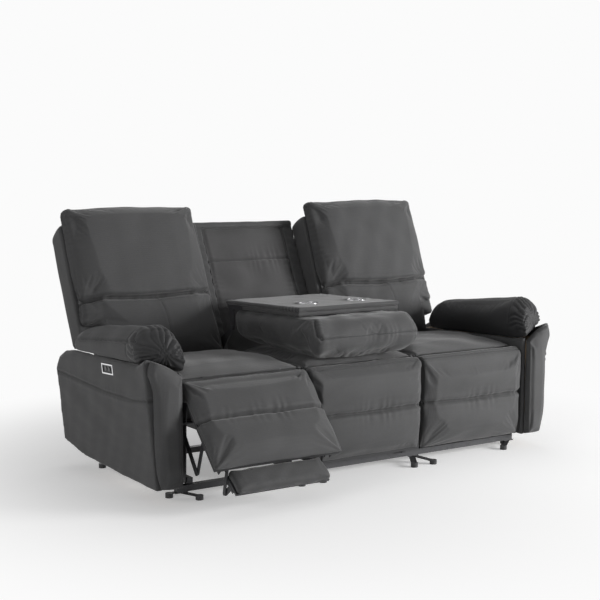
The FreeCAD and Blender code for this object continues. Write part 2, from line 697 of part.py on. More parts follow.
def recliner_back(side):
    sign = dict(SIDES)[side]

    def yz(p):
        return back_yz(side, p)

    def low_at(x, low, wing):
        return low if abs(x) <= BACK_LOW_OUTER + 1e-6 else wing

    def shell_profile(share, x):
        low = low_at(x, SHELL_LOW, SHELL_WING_LOW)
        t = (low - SHELL_LOW) / (SHELL_TOP - SHELL_LOW)
        rear_low = SHELL_REAR_LOW + (SHELL_REAR_TOP - SHELL_REAR_LOW) * t
        points = [
            (low, SHELL_FRONT),
            (SHELL_TOP - 4.0, SHELL_FRONT),
            (SHELL_TOP, SHELL_FRONT - 6.0),
            (SHELL_TOP - 14.0, -SHELL_REAR_TOP + 2.0),
            (SHELL_TOP - 50.0, -SHELL_REAR_TOP - 5.0),
            (low, -rear_low),
        ]
        return points, [0.0, 1.0, 6.0, 5.0, 4.0, 0.0]

    def rows_for(low, high, edge, split):
        # stations across the back, with the step where the wing starts
        rows = []
        for x, share, d in stations(low, high, edge, (-0.5, 0.0, 0.3)):
            rows.append((x, share, d))
        centre = (low + high) / 2
        half = (high - low) / 2
        for x in (split, split + 2.0):
            rows.append((x, (x - centre) / half, 0.0))
        rows.sort()
        return [(sign * x, share, d) for x, share, d in rows]

    wires = []
    for x, share, d in rows_for(BACK_INNER, BACK_OUTER, SHELL_EDGE, BACK_LOW_OUTER):
        points, sags = shell_profile(share, x)
        drawn = inset(points, d)
        drawn[0] = (drawn[0][0], SHELL_FRONT)
        drawn[1] = (drawn[1][0], SHELL_FRONT)
        wires.append(arc_wire(drawn, sags, lambda p, x=x: V(x, *yz(p))))
    save("back_shell_" + side, Part.makeLoft(wires, True, True))

    def cushion_profile(share, x):
        low = low_at(x, CUSHION_LOW, CUSHION_WING_LOW)
        k = crown(share, 2.5)
        rear = SHELL_FRONT + SOFT_GAP
        seam = CUSHION_SEAM + SEAM_SMILE * (share * share)
        wing = low > CUSHION_LOW + 1.0
        depth = 0.78 + 0.22 * k
        points = [
            (low, rear),
            (low, rear + 22.0),
            (low + (40.0 if not wing else 26.0), rear + 54.0 * depth),
            (seam - 38.0, rear + 60.0 * depth),
            (seam, rear + 40.0 * depth),
            (seam + 26.0, rear + 70.0 * depth),
            (CUSHION_TOP - 50.0 - 6.0 * (1 - k), rear + 64.0 * depth),
            (CUSHION_TOP - 8.0 * (1 - k), rear + 26.0),
            (CUSHION_TOP - 8.0 - 8.0 * (1 - k), rear),
        ]
        sags = [1.0, 7.0, 13.0 * (0.4 + 0.6 * k) if not wing else 4.0, 4.0, 8.0, 12.0 * (0.5 + 0.5 * k),
                13.0, 2.0, 0.0]
        return points, sags

    wires = []
    for x, share, d in rows_for(BACK_INNER + CUSHION_IN, BACK_OUTER - CUSHION_IN, CUSHION_EDGE,
                                BACK_LOW_OUTER):
        points, sags = cushion_profile(share, x)
        rear = points[0][1]
        drawn = [(p[0], rear + (p[1] - rear) * (1 - d / CUSHION_EDGE * 0.62)) for p in points]
        lift = d * 0.95
        drawn = [(p[0] - lift * max(0.0, (p[0] - CUSHION_TOP + 90.0) / 90.0), p[1]) for p in drawn]
        for i in (0, 1, 2):
            drawn[i] = (drawn[i][0] + lift * (1.0 - 0.4 * i), drawn[i][1])
        sags = [s * (1 - d / CUSHION_EDGE * 0.6) if s else 0.0 for s in sags]
        wires.append(arc_wire(drawn, sags, lambda p, x=x: V(x, *yz(p))))
    save("back_cushion_" + side, Part.makeLoft(wires, True, True))

    centre = UNITS[side]

    def bracket():
        plate_x = EAR_X
        hub = (BACK_Y, BACK_Z)
        web = plate([yz(p) for p in ((0.0, 14.0), (SHELL_LOW, 8.0), (SHELL_LOW, -76.0), (0.0, -14.0))],
                    plate_x, plate_x + PLATE_T)
        web = web.fuse(cyl(plate_x, plate_x + PLATE_T, hub[0], hub[1], 16.0))
        flange = plate([yz(p) for p in ((SHELL_LOW - 3.0, 8.0), (SHELL_LOW, 8.0), (SHELL_LOW, -84.0),
                                        (SHELL_LOW - 3.0, -84.0))], plate_x - 34.0, plate_x + PLATE_T)
        solid = web.fuse(flange).removeSplitter()
        return solid.cut(pin_hole(plate_x, plate_x + PLATE_T, hub[0], hub[1], PIN_R + 1.0 + PIN_CLEAR))

    save("back_bracket_" + side, both_sides(bracket, centre))


for side, sign in SIDES:
    recliner_back(side)


# arms
def lerp(a, b, t):
    return a + (b - a) * t


def arm_outer_x(z):
    return lerp(ARM_OUT_LOW, ARM_OUT_TOP, (z - ARM_LOW_Z) / (ARM_SHOULDER_Z - ARM_LOW_Z))


def arm_edge(y):
    # top of the arm at its outer side: front rise, level under the pad, shoulder behind it
    places = [(0.0, 550.0), (ARM_RISE, 518.0), (PAD_REAR_Y + 8.0, 500.0), (ARM_BEND_Y, 490.0),
              (ARM_TURN_Y, 464.0), (ARM_REAR_Y, 424.0)]
    for (y0, z0), (y1, z1) in zip(places[:-1], places[1:]):
        if y <= y1:
            return lerp(z0, z1, (y - y0) / (y1 - y0))
    return places[-1][1]


def arm_top(x, y):
    # the top leans towards the seat, more so at the front
    slope = lerp(0.50, 0.30, min(max(y, 0.0) / ARM_RISE, 1.0))
    return arm_edge(max(y, 0.0)) - slope * max(0.0, ARM_OUT_TOP - 20.0 - x)


def arm_bottom(y):
    if y <= ARM_KNEE_Y:
        return lerp(ARM_LOW_Z, ARM_LOW_Z + 7.0, y / ARM_KNEE_Y)
    return lerp(ARM_LOW_Z + 7.0, ARM_LOW_Z + 42.0, (y - ARM_KNEE_Y) / (ARM_REAR_Y - ARM_KNEE_Y))


ARM_STATIONS = (0.0, ARM_RISE, 380.0, ARM_KNEE_Y, PAD_REAR_Y + 8.0, ARM_BEND_Y, ARM_TURN_Y,
                ARM_REAR_Y - 8.0, ARM_REAR_Y)


def switch_place(shape, sign):
    # from the switch's own frame (x out of the arm, y back, z up) to the arm's sloping side
    copy = shape.copy()
    lean = math.degrees(math.atan((ARM_OUT_TOP - ARM_OUT_LOW) / (ARM_SHOULDER_Z - ARM_LOW_Z)))
    copy.rotate(V(0, 0, 0), V(1, 0, 0), -3.0)
    copy.rotate(V(0, 0, 0), V(0, 1, 0), lean)
    copy.translate(V(arm_outer_x(SWITCH_Z), SWITCH_Y, SWITCH_Z))
    return copy if sign > 0 else mirrored(copy)


def arm(side):
    sign = dict(SIDES)[side]

    def put(name, shape):
        save(name, shape if sign > 0 else mirrored(shape))

    wires = []
    for y in ARM_STATIONS:
        edge = arm_edge(y)
        low = arm_bottom(y)
        end = 10.0 if y == ARM_STATIONS[-1] else 0.0
        xo = arm_outer_x(low) - end
        xt = arm_outer_x(edge - 22.0) - end
        xi = xt - PANEL_T - 12.0 + end * 0.5
        points = [
            (xo - PANEL_T + end * 0.5, low + end * 0.4),
            (xo, low + end * 0.4),
            (xt, edge - 22.0),
            (xt - 14.0, edge),
            (xi, arm_top(xi, y)),
        ]
        wires.append(arc_wire(points, [0.0, 0.0, 4.0, 0.0, 0.0], lambda p, y=y: V(p[0], y, p[1])))
    outer = Part.makeLoft(wires, True, True)
    pocket_long = SWITCH_LONG / 2 - 6.0 + SOFT_GAP
    pocket_high = SWITCH_HIGH / 2 - 5.0 + SOFT_GAP
    pocket = box(-28.0, 0.5, -pocket_long, pocket_long, -pocket_high, pocket_high)
    outer = outer.cut(switch_place(pocket, 1))
    put("arm_outer_" + side, outer)

    in_x = ARM_IN + INNER_T
    wires = []
    for y in ARM_STATIONS:
        low = arm_bottom(y)
        points = [(ARM_IN, low), (in_x, low), (in_x, arm_top(in_x, y)), (ARM_IN, arm_top(ARM_IN, y))]
        wires.append(arc_wire(points, [0.0, 0.0, 0.0, 0.0], lambda p, y=y: V(p[0], y, p[1])))
    put("arm_inner_" + side, Part.makeLoft(wires, True, True))

    # boards inside the arm: two uprights, one under the pad, one under the shoulder, one below
    out_x = ARM_OUT_TOP - PANEL_T - 24.0

    def across(points, y0, y1):
        wire = Part.makePolygon([V(p[0], y0, p[1]) for p in points] + [V(points[0][0], y0, points[0][1])])
        return Part.Face(wire).extrude(V(0, y1 - y0, 0))

    for y0, y1 in ((0.0, 18.0), (ARM_REAR_Y - 60.0, ARM_REAR_Y - 42.0)):
        low = arm_bottom(y1) + 2.0
        top = arm_top(in_x, y1) - 26.0
        out_low = arm_outer_x(low) - PANEL_T - 1.0
        put("arm_boards", across([(in_x, low), (out_low, low), (out_x, top), (in_x, top)], y0, y1))
    top_in = arm_top(in_x, PAD_REAR_Y) - 4.0
    top_out = arm_top(out_x, PAD_REAR_Y) - 4.0
    slab = [(in_x, top_in - 18.0), (out_x, top_out - 18.0), (out_x, top_out), (in_x, top_in)]
    put("arm_boards", across(slab, 18.0, PAD_REAR_Y - 20.0))
    shoulder = [(y, arm_top(in_x, y) - 3.0) for y in (PAD_REAR_Y + 8.0, ARM_BEND_Y, ARM_TURN_Y,
                                                      ARM_REAR_Y - 10.0)]
    shoulder += [(y, z - 10.0) for y, z in reversed(shoulder)]
    put("arm_boards", plate(shoulder, in_x, out_x))
    knee = arm_bottom(ARM_KNEE_Y)
    put("arm_boards", box(in_x, ARM_OUT_LOW - PANEL_T, 18.0, ARM_KNEE_Y, knee, knee + 18.0))

    # padded front cover: narrow below, belled at the top, its top running down towards the seat
    wires = []
    for y, k in ((-FRONT_T, 20.0), (-FRONT_T + 5.0, 11.0), (-FRONT_T + 14.0, 4.0), (-SOFT_GAP, 0.0)):
        points = [
            (ARM_IN + 9.0 + k * 0.3, ARM_LOW_Z + 2.0 + k * 0.2),
            (ARM_OUT_LOW - 14.0 - k, ARM_LOW_Z + 2.0 + k * 0.2),
            (ARM_OUT_LOW + 10.0 - k, ARM_LOW_Z + 128.0),
            (ARM_OUT_LOW + 14.0 - k, ARM_SHOULDER_Z - 95.0),
            (ARM_OUT_TOP - 5.0 - k, ARM_SHOULDER_Z - 13.0),
            (ARM_OUT_TOP - 20.0 - k, ARM_SHOULDER_Z + 41.0 - k * 0.5),
            (ARM_IN + 66.0, ARM_SHOULDER_Z + 14.0 - k * 0.5),
            (ARM_IN + 12.0 + k * 0.2, ARM_SHOULDER_Z - 27.0 - k * 0.4),
        ]
        sags = [0.0, 6.0, 1.0, -4.0, 4.0, 3.0, 2.0, 0.0]
        wires.append(arc_wire(points, sags, lambda p, y=y: V(p[0], y, p[1])))
    put("arm_front_" + side, Part.makeLoft(wires, True, True))

    # arm pad: a stuffed roll over the arm; its front end runs slantwise and droops to the seat
    def pad_row(y_in, skew, lift, thick, draw):
        rear = max(0.0, min(1.0, (y_in - 60.0) / (PAD_REAR_Y - 60.0)))
        inner = ARM_IN - lerp(8.0, 2.0, rear) + draw
        outer_x = ARM_OUT_TOP + 3.0 - lerp(0.0, 6.0, rear) - draw

        def y_at(x):
            return y_in + skew * (x - ARM_IN)

        low_in = inner + 11.0
        low_out = outer_x - 10.0
        base_in = arm_top(low_in, y_at(low_in)) + lift
        base_out = arm_top(low_out, y_at(low_out)) + lift
        kink = min(ARM_OUT_TOP - 20.0, low_out - 5.0)
        top = lerp(PAD_FRONT_Z, PAD_REAR_Z, rear)
        top_in = base_in + (top - base_in) * thick
        top_out = base_out + (top - 6.0 - base_out) * thick
        points = [
            (low_in, base_in),
            (kink, arm_top(kink, y_at(kink)) + lift),
            (low_out, base_out),
            (outer_x, lerp(base_out, top_out, 0.42)),
            (outer_x - 44.0, top_out),
            (inner + 46.0, top_in),
            (inner, lerp(base_in, top_in, 0.45)),
        ]
        sags = [0.0, 0.0, 4.0, 13.0 * thick, 4.0, 13.0 * thick, 5.0 * thick]
        return arc_wire(points, sags, lambda p: V(p[0], y_at(p[0]), p[1]))

    pad_rows = (
        (-24.0, 0.46, 14.0, 0.34, 9.0),
        (-18.0, 0.46, 8.0, 0.56, 4.0),
        (0.0, 0.46, 5.0, 0.78, 1.0),
        (34.0, 0.40, 3.0, 0.93, 0.0),
        (78.0, 0.25, 3.0, 1.0, 0.0),
        (150.0, 0.0, 1.0, 1.0, 0.0),
        (300.0, 0.0, SOFT_GAP, 1.0, 0.0),
        (450.0, 0.0, SOFT_GAP, 1.0, 0.0),
        (PAD_REAR_Y - 70.0, 0.0, SOFT_GAP, 0.98, 0.0),
        (PAD_REAR_Y - 24.0, 0.0, SOFT_GAP, 0.86, 2.0),
        (PAD_REAR_Y, 0.0, SOFT_GAP + 4.0, 0.56, 9.0),
    )
    put("arm_pad_" + side, Part.makeLoft([pad_row(*row) for row in pad_rows], True, True))

    # power switch: recessed housing, chrome bezel and two push buttons
    half_l = SWITCH_LONG / 2
    half_h = SWITCH_HIGH / 2
    housing = box(-26.0, SWITCH_LIP, -half_l + 6.0, half_l - 6.0, -half_h + 5.0, half_h - 5.0)
    housing = housing.cut(box(SWITCH_LIP - 3.0, SWITCH_LIP + 1.0, -half_l + 9.0, half_l - 9.0,
                              -half_h + 8.0, half_h - 8.0))
    bezel = box(SOFT_GAP, SWITCH_LIP, -half_l, half_l, -half_h, half_h)
    bezel = bezel.makeFillet(1.5, [e for e in bezel.Edges if abs(e.Vertexes[0].X - e.Vertexes[1].X) > 1.0])
    bezel = bezel.cut(box(-1.0, SWITCH_LIP + 1.0, -half_l + 6.0, half_l - 6.0, -half_h + 5.0, half_h - 5.0))
    for i, word in ((-1, "open"), (1, "close")):
        bore = cyl(-10.0, SWITCH_LIP + 1.0, i * BUTTON_PITCH / 2, 0.0, BUTTON_R + BUTTON_CLEAR)
        housing = housing.cut(bore)
        button = cyl(-10.0 + BUTTON_TRAVEL + 0.5, SWITCH_LIP - 0.5, i * BUTTON_PITCH / 2, 0.0, BUTTON_R)
        save("button_" + word + "_" + side, switch_place(button, sign))
    save("switch_housings", switch_place(housing, sign))
    save("switch_bezels", switch_place(bezel, sign))


for side, sign in SIDES:
    arm(side)


# middle seat
def middle_seat():
    side_yz = [(30.0, BASE_RAIL_Z), (BOX_REAR, BASE_RAIL_Z), (BOX_REAR, SEAT_RAIL_TOP),
               (30.0, SEAT_RAIL_TOP)]
    for s in (1, -1):
        save("middle_seat_box", plate(side_yz, s * BOX_IN, s * (POST_IN - SOFT_GAP)))
    save("middle_seat_box", box(-SEAT_HALF + 6.0, SEAT_HALF - 6.0, 12.0, 30.0, 66.0,
                                HINGE_Z - BOARD_TOP - 4.0))
    save("seat_decks", box(-SEAT_HALF + 6.0, SEAT_HALF - 6.0, HINGE_Y + ROLL_R + ROLL_CLEAR + 2.0,
                           SEAT_REAR_Y, SEAT_RAIL_TOP, SEAT_RAIL_TOP + DECK_T))
    save("seat_cushion_middle", seat_cushion(0.0))
    cover = leg_cover(0.0, False)
    cover = cover.cut(box(-SEAT_HALF - 1, SEAT_HALF + 1, 12.0 - SOFT_GAP, 200.0, 0.0,
                          HINGE_Z - BOARD_TOP - 4.0 + SOFT_GAP))
    save("front_cover_middle", cover)


middle_seat()

# console and middle back share one frame about the console hinge
TILT = math.radians(CON_TILT)
UP = math.radians(CON_TILT + CON_TURN - 90.0)


def con_yz(p):
    # p: ahead of the hinge along the table, and up from it, table down
    return (CON_Y - p[0] * math.cos(TILT) + p[1] * math.sin(TILT),
            CON_Z + p[0] * math.sin(TILT) + p[1] * math.cos(TILT))


def mid_yz(p):
    # p: up the middle back from the hinge, and backwards from it
    return (CON_Y + p[0] * math.sin(UP) + p[1] * math.cos(UP),
            CON_Z + p[0] * math.cos(UP) - p[1] * math.sin(UP))


def con_axis_cyl(t, x, w0, w1, r):
    y0, z0 = con_yz((t, w0))
    y1, z1 = con_yz((t, w1))
    return Part.makeCylinder(r, w1 - w0, V(x, y0, z0), V(0, y1 - y0, z1 - z0))


def console():
    def slab_profile(t0, t1, w0, w1, sag):
        def profile(share, x):
            return [(t0, w0), (t1, w0), (t1, w1), (t0, w1)], [0.0, sag, 0.0, sag]
        return profile

    low = TABLE_TOP - TABLE_T
    rows = stations(-TABLE_HALF, TABLE_HALF, 6.0, (0.0,))
    table = loft_x(rows, slab_profile(TABLE_REAR, TABLE_FRONT, low, TABLE_TOP, 2.0), con_yz)
    core_low = low - CORE_T
    core = plate([con_yz(p) for p in (
        (TABLE_REAR + 6.0, core_low), (TABLE_FRONT - CORE_INSET, core_low), (TABLE_FRONT - CORE_INSET, low), (TABLE_REAR + 6.0, low))],
        -TABLE_HALF + CORE_INSET - 2.0, TABLE_HALF - CORE_INSET + 2.0)

    def pillow_profile(share, x):
        k = crown(share, 3.0)
        top = core_low - SOFT_GAP
        belly = -50.0 - 10.0 * k
        points = [
            (CON_HUB + 4.0, 6.0),
            (54.0, belly + 12.0),
            (320.0, belly),
            (590.0, belly - 10.0 * k - 4.0),
            (PILLOW_FRONT - 14.0, -44.0),
            (PILLOW_FRONT - 3.0, 4.0),
            (PILLOW_FRONT - 36.0, 60.0),
            (TABLE_FRONT + 34.0, core_low + 2.0),
            (TABLE_FRONT + 4.0, top),
            (CON_HUB + 4.0, top),
        ]
        sags = [8.0, 0.0, 2.0, 8.0, 6.0, 8.0, 8.0, 0.0, 0.0, 0.0]
        return points, sags

    wires = []
    for x, share, d in stations(-PILLOW_HALF, PILLOW_HALF, PILLOW_EDGE, MID_ROWS):
        points, sags = pillow_profile(share, x)
        drawn = inset(points, d * 0.8)
        drawn[0] = (drawn[0][0], drawn[0][1])
        top = core_low - SOFT_GAP
        drawn = [(p[0], min(p[1], top + 2.0)) for p in drawn]
        wires.append(arc_wire(drawn, sags, lambda p, x=x: V(x, *con_yz(p))))
    pillow = Part.makeLoft(wires, True, True)
    cups = []
    for x in (CUP_LEFT_X, CUP_RIGHT_X):
        floor = TABLE_TOP + CUP_RIM_T - CUP_DEPTH
        cup = con_axis_cyl(CUP_T, x, floor - CUP_WALL, TABLE_TOP, CUP_R + CUP_WALL)
        cup = cup.fuse(con_axis_cyl(CUP_T, x, TABLE_TOP, TABLE_TOP + CUP_RIM_T, CUP_RIM_R))
        cups.append(cup.cut(con_axis_cyl(CUP_T, x, floor, TABLE_TOP + CUP_RIM_T + 1.0, CUP_R)))
        hole = con_axis_cyl(CUP_T, x, floor - CUP_WALL - SOFT_GAP, TABLE_TOP + 1.0,
                            CUP_R + CUP_WALL + SOFT_GAP)
        table = table.cut(hole)
        core = core.cut(hole)
        pillow = pillow.cut(hole)
    save("console_table", table)
    save("console_core", core)
    save("console_cushion", pillow)
    save("cup_holders", cups)

    # hinge arms under the table's sides and their brackets on the middle back
    arm_x = TABLE_HALF - CORE_INSET + 2.0

    def hinge_arm():
        solid = plate([con_yz(p) for p in ((-ARM_BEHIND, core_low), (ARM_AHEAD, core_low),
                                           (ARM_AHEAD, low - SOFT_GAP), (-ARM_BEHIND, low - SOFT_GAP))], arm_x, arm_x + PLATE_T)
        solid = solid.fuse(plate([con_yz(p) for p in ((-ARM_BEHIND, core_low + 4.0), (-CON_HUB, 0.0),
                                                      (CON_HUB, 0.0), (CON_HUB, core_low + 4.0))], arm_x, arm_x + PLATE_T))
        solid = solid.fuse(cyl(arm_x, arm_x + PLATE_T, CON_Y, CON_Z, CON_HUB)).removeSplitter()
        return solid.cut(pin_hole(arm_x, arm_x + PLATE_T, CON_Y, CON_Z, PIN_R + PIN_CLEAR))

    save("console_arms", both_sides(hinge_arm, 0.0))

    def pivot():
        x0 = arm_x + PLATE_T + LAYER_GAP
        solid = plate([mid_yz(p) for p in ((6.0, 0.0), (-8.0, RAIL_D), (-PIVOT_LOW + 4.0, RAIL_D),
                                           (-12.0, 0.0))], x0, x0 + PLATE_T)
        solid = solid.fuse(cyl(x0, x0 + PLATE_T, CON_Y, CON_Z, CON_HUB))
        flange = plate([mid_yz(p) for p in ((-4.0, RAIL_D - 3.0), (-4.0, RAIL_D), (-PIVOT_LOW, RAIL_D),
                                            (-PIVOT_LOW, RAIL_D - 3.0))], x0, POST_OUT)
        solid = solid.fuse(flange).removeSplitter()
        return solid.fuse(cyl(arm_x - 1.0, x0, CON_Y, CON_Z, PIN_R))

    save("console_pivots", both_sides(pivot, 0.0))


def middle_back():
    def bar(a0, a1, d0, d1, x0, x1):
        return plate([mid_yz(p) for p in ((a0, d0), (a1, d0), (a1, d1), (a0, d1))], x0, x1)

    for s in (1, -1):
        save("middle_back_frame", bar(POST_LOW, RECESS_TOP, RAIL_D, BACK_D, s * POST_IN, s * POST_OUT))
    rows = stations(-POST_OUT, POST_OUT, 10.0, (0.0,))
    head = loft_x(rows, lambda share, x: ([(RECESS_TOP, RAIL_D - 6.0), (MID_TOP - 6.0, RAIL_D - 10.0),
                                           (MID_TOP, RAIL_D + 4.0), (MID_TOP - 4.0, COVER_D), (RECESS_TOP, COVER_D)], [2.0, 3.0, 5.0, 2.0, 0.0]), mid_yz)
    save("middle_back_frame", head)
    pad_low = -96.0
    split = 366.0

    def panel_profile(share, x):
        points = [(pad_low, BACK_D), (pad_low, PANEL_D + 2.0), (split - 4.0, PANEL_D),
                  (split, PANEL_D + 3.0), (split + 4.0, PANEL_D), (RECESS_TOP - SOFT_GAP, PANEL_D + 2.0), (RECESS_TOP - SOFT_GAP, BACK_D)]
        return points, [0.0, 2.0, 0.0, 0.0, 2.0, 0.0, 0.0]

    rows = stations(-POST_IN + SOFT_GAP, POST_IN - SOFT_GAP, 4.0, (0.0,))
    save("middle_back_panel", loft_x(rows, panel_profile, mid_yz))
    save("middle_back_cover", bar(POST_LOW, RECESS_TOP - SOFT_GAP, BACK_D, COVER_D, -POST_OUT, POST_OUT))


console()
middle_back()


# cross tubes, feet and glides
def cross_tubes():
    ends = ARM_IN - SOFT_GAP
    for y in (FRONT_TUBE_Y, REAR_TUBE_Y):
        tube = rect_tube(-ends, ends, y, y + TUBE_DEPTH, TUBE_Z, TUBE_Z + TUBE_H, TUBE_WALL)
        for s in (1, -1):
            end = box(s * (ends - PLATE_T), s * ends, y, y + TUBE_DEPTH, TUBE_Z, 130.0)
            tube = tube.fuse(end)
        save("cross_tubes", tube.removeSplitter())


cross_tubes()


def feet():
    front = FRONT_TUBE_Y + TUBE_DEPTH / 2
    rear = REAR_TUBE_Y + TUBE_DEPTH / 2
    edge = ARM_IN - 18.0
    joint = SEAT_PITCH / 2
    # each foot: where it hangs from the tube, and its two glides
    table = [
        ((-edge, front), ((-838.0, 114.0), (-757.0, 26.0))),
        ((edge, front), ((838.0, 114.0), (757.0, 26.0))),
        ((joint, front), ((joint + 50.0, -14.0), (joint - 50.0, -14.0))),
        ((-joint, front), ((-joint - 50.0, -14.0), (-joint + 50.0, -14.0))),
        ((-edge, rear), ((-edge - 40.0, rear + 66.0), (-edge + 62.0, rear + 66.0))),
        ((edge, rear), ((edge + 40.0, rear + 66.0), (edge - 62.0, rear + 66.0))),
        ((joint, rear), ((joint + 62.0, rear + 66.0), (joint - 62.0, rear + 66.0))),
        ((-joint, rear), ((-joint - 62.0, rear + 66.0), (-joint + 62.0, rear + 66.0))),
    ]
    for (ax, ay), pads in table:
        bracket = box(ax - 26.0, ax + 26.0, ay - 14.0, ay + 14.0, TUBE_Z - FOOT_T, TUBE_Z)
        for px, py in pads:
            run = math.hypot(px - ax, py - ay)
            ux = (px - ax) / run
            uy = (py - ay) / run
            # flat leg, sloping down to the glide
            z_top = TUBE_Z - FOOT_T
            z_low = GLIDE_H
            leg = Part.makeBox(run, FOOT_BAR, FOOT_T, V(0, -FOOT_BAR / 2, 0))
            slope = math.degrees(math.atan2(z_top - z_low, run))
            leg.rotate(V(0, 0, 0), V(0, 1, 0), slope)
            leg.rotate(V(0, 0, 0), V(0, 0, 1), math.degrees(math.atan2(uy, ux)))
            leg.translate(V(ax, ay, z_top))
            cup = upright_cyl(px, py, GLIDE_H, GLIDE_H + 6.0, GLIDE_R)
            bracket = bracket.fuse([leg, cup])
            save("foot_glides", upright_cyl(px, py, 0.0, GLIDE_H, GLIDE_R))
        bracket = bracket.cut(box(ax - 300, ax + 300, ay - 300, ay + 300, -10.0, GLIDE_H))
        bracket = bracket.cut(box(ax - 300, ax + 300, ay - 300, ay + 300, TUBE_Z, TUBE_Z + 40.0))
        save("foot_brackets", bracket.removeSplitter())


feet()

# export
os.makedirs("parts", exist_ok=True)
for name, solids in NODES.items():
    for s in solids:
        if not s.isValid() or s.Volume <= 0:
            print("bad solid in", name, s.isValid(), s.Volume)
    shape = solids[0] if len(solids) == 1 else Part.Compound(solids)
    shape = shape.copy()
    shape.translate(V(0, -ORIGIN_BACK, 0))
    shape.exportStep("parts/" + name + ".step")
print(len(NODES), "nodes,", sum(len(s) for s in NODES.values()), "solids")
whole = Part.Compound([s for solids in NODES.values() for s in solids])
b = whole.BoundBox
print("outline", round(b.XMin, 1), round(b.XMax, 1), round(b.YMin, 1), round(b.YMax, 1),
      round(b.ZMin, 1), round(b.ZMax, 1))
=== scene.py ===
"""Three-seat power reclining sofa with a drop-down console: the upholstery and finishes."""

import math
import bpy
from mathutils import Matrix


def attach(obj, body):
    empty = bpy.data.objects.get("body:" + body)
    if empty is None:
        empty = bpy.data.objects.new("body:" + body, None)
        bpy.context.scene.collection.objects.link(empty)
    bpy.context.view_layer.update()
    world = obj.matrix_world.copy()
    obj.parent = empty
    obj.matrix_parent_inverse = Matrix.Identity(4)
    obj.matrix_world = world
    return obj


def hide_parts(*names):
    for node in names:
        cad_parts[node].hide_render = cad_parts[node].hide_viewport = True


bl_info = {
    "name": "Reclining sofa upholstery",
    "version": (1, 0, 0),
    "blender": (4, 5, 0),
    "location": "3D View > Sidebar > Sofa",
    "description": "Cushions, covers, seams and finishes for a reclining sofa with a drop-down console",
    "category": "Object",
}

import bmesh
import bpy
import numpy as np
from bpy.props import FloatProperty, FloatVectorProperty, IntProperty, PointerProperty
from mathutils import Vector
from mathutils.bvhtree import BVHTree

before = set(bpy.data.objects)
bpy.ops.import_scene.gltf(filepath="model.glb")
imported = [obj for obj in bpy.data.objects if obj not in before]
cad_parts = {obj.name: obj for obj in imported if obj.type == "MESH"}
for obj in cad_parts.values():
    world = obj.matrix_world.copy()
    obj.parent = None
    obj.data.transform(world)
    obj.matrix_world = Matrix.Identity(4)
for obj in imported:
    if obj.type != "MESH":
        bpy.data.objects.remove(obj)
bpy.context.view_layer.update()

# The maker's drawing counts depth from the front of the seat hinge; the frame counts from
# the middle of the sofa. All drawing sizes below are in millimetres.
FRONT_SHIFT = 386.0
SIDES = (("left", -1.0), ("right", 1.0))
SEAT_CENTRES = {"left": -556.0, "middle": 0.0, "right": 556.0}
SEAT_HALF = 277.0
LEG_HINGE = (28.0, 415.0)
LEG_OPEN = {"left": 44.6, "right": 0.0, "middle": 0.0}
ROLL_RADIUS = 42.0
BACK_HINGE = (655.0, 345.0)
BACK_LEAN = {"left": 24.7, "right": 21.7}
BACK_CENTRE = 598.0
BACK_HALF = 316.0
SMILE_SEAM = 345.0
SMILE_DROP = 24.0
CONSOLE_HINGE = (645.0, 540.0)
CONSOLE_TILT = 1.94
CONSOLE_LEAN = 24.94
SMILE_TURN = 16.0           # how far a back's seam turns down at the cushion's left end
LEG_CREASE = 158.0          # sewn channel of a leg cover, down from its hinge
CREST_DOWN = -33.1          # crest seam on the roll, from the footrest hinge
CREST_OUT = 25.9
PAD_SEAM_Y = (60.0, 106.0, 644.0)
PAD_SEAM_Z = (604.0, 600.0, 548.0)
PAD_SEAM_ENDS = (88.0, 655.0)
RECESS_SEAM = 366.0         # seam across the recessed panel, up from the console hinge
PALE = (0.965, 0.965, 0.965, 1.0)
WAVES = 9                   # waves that make up a wrinkled surface


def colour(name, description, value):
    """A colour setting."""
    return FloatVectorProperty(name=name, description=description, subtype="COLOR", size=3,
                               min=0.0, max=1.0, default=value)


def length(name, description, low, high, value):
    """A length setting, in metres."""
    return FloatProperty(name=name, description=description, subtype="DISTANCE",
                         min=low, max=high, default=value)


def power(name, description, value):
    """A lamp's power, in watts."""
    return FloatProperty(name=name, description=description, subtype="POWER", min=0.0,
                         max=2000.0, default=value)


class SofaFabric(bpy.types.PropertyGroup):
    """Colours and weave of the upholstery."""

    body_colour: colour("Body cloth", "Charcoal cloth of seats, backs and arms",
        (0.062, 0.062, 0.063))
    pad_colour: colour("Arm pad cloth", "Darker, smoother cloth on top of the arm pads",
        (0.022, 0.022, 0.023))
    recess_colour: colour("Recess cloth", "Cloth inside the middle back", (0.070, 0.069, 0.070))
    thread_colour: colour("Thread", "Sewing thread and piping", (0.034, 0.034, 0.035))
    weave_pitch: length("Weave pitch", "Distance between ribs of the weave", 0.0005, 0.02, 0.0042)
    nap_size: length("Nap patches", "Size of the brushed patches in the pile", 0.01, 0.5, 0.11)


class SofaForm(bpy.types.PropertyGroup):
    """How the padding is shaped."""

    grid: length("Mesh size", "Spacing of the padding's surface mesh", 0.002, 0.02, 0.0055)
    seam_depth: length("Seam depth", "How far a seam pulls into the padding", 0.0, 0.02, 0.005)
    pucker_depth: length("Pucker depth", "Height of the gathers beside a seam", 0.0, 0.01, 0.0014)
    wrinkle_depth: length("Wrinkle depth", "Height of the soft wrinkles in the cloth",
        0.0, 0.01, 0.0016)
    fill_pressure: FloatProperty(
        name="Fill pressure", description="Pressure of the filling against the cloth",
        min=0.0, max=20.0, default=4.0)
    swell_limit: length("Swell limit", "The most a cushion may swell", 0.0, 0.03, 0.022)
    settle_frames: IntProperty(
        name="Settling frames", description="Frames the filled cover settles for",
        min=1, max=60, default=20)


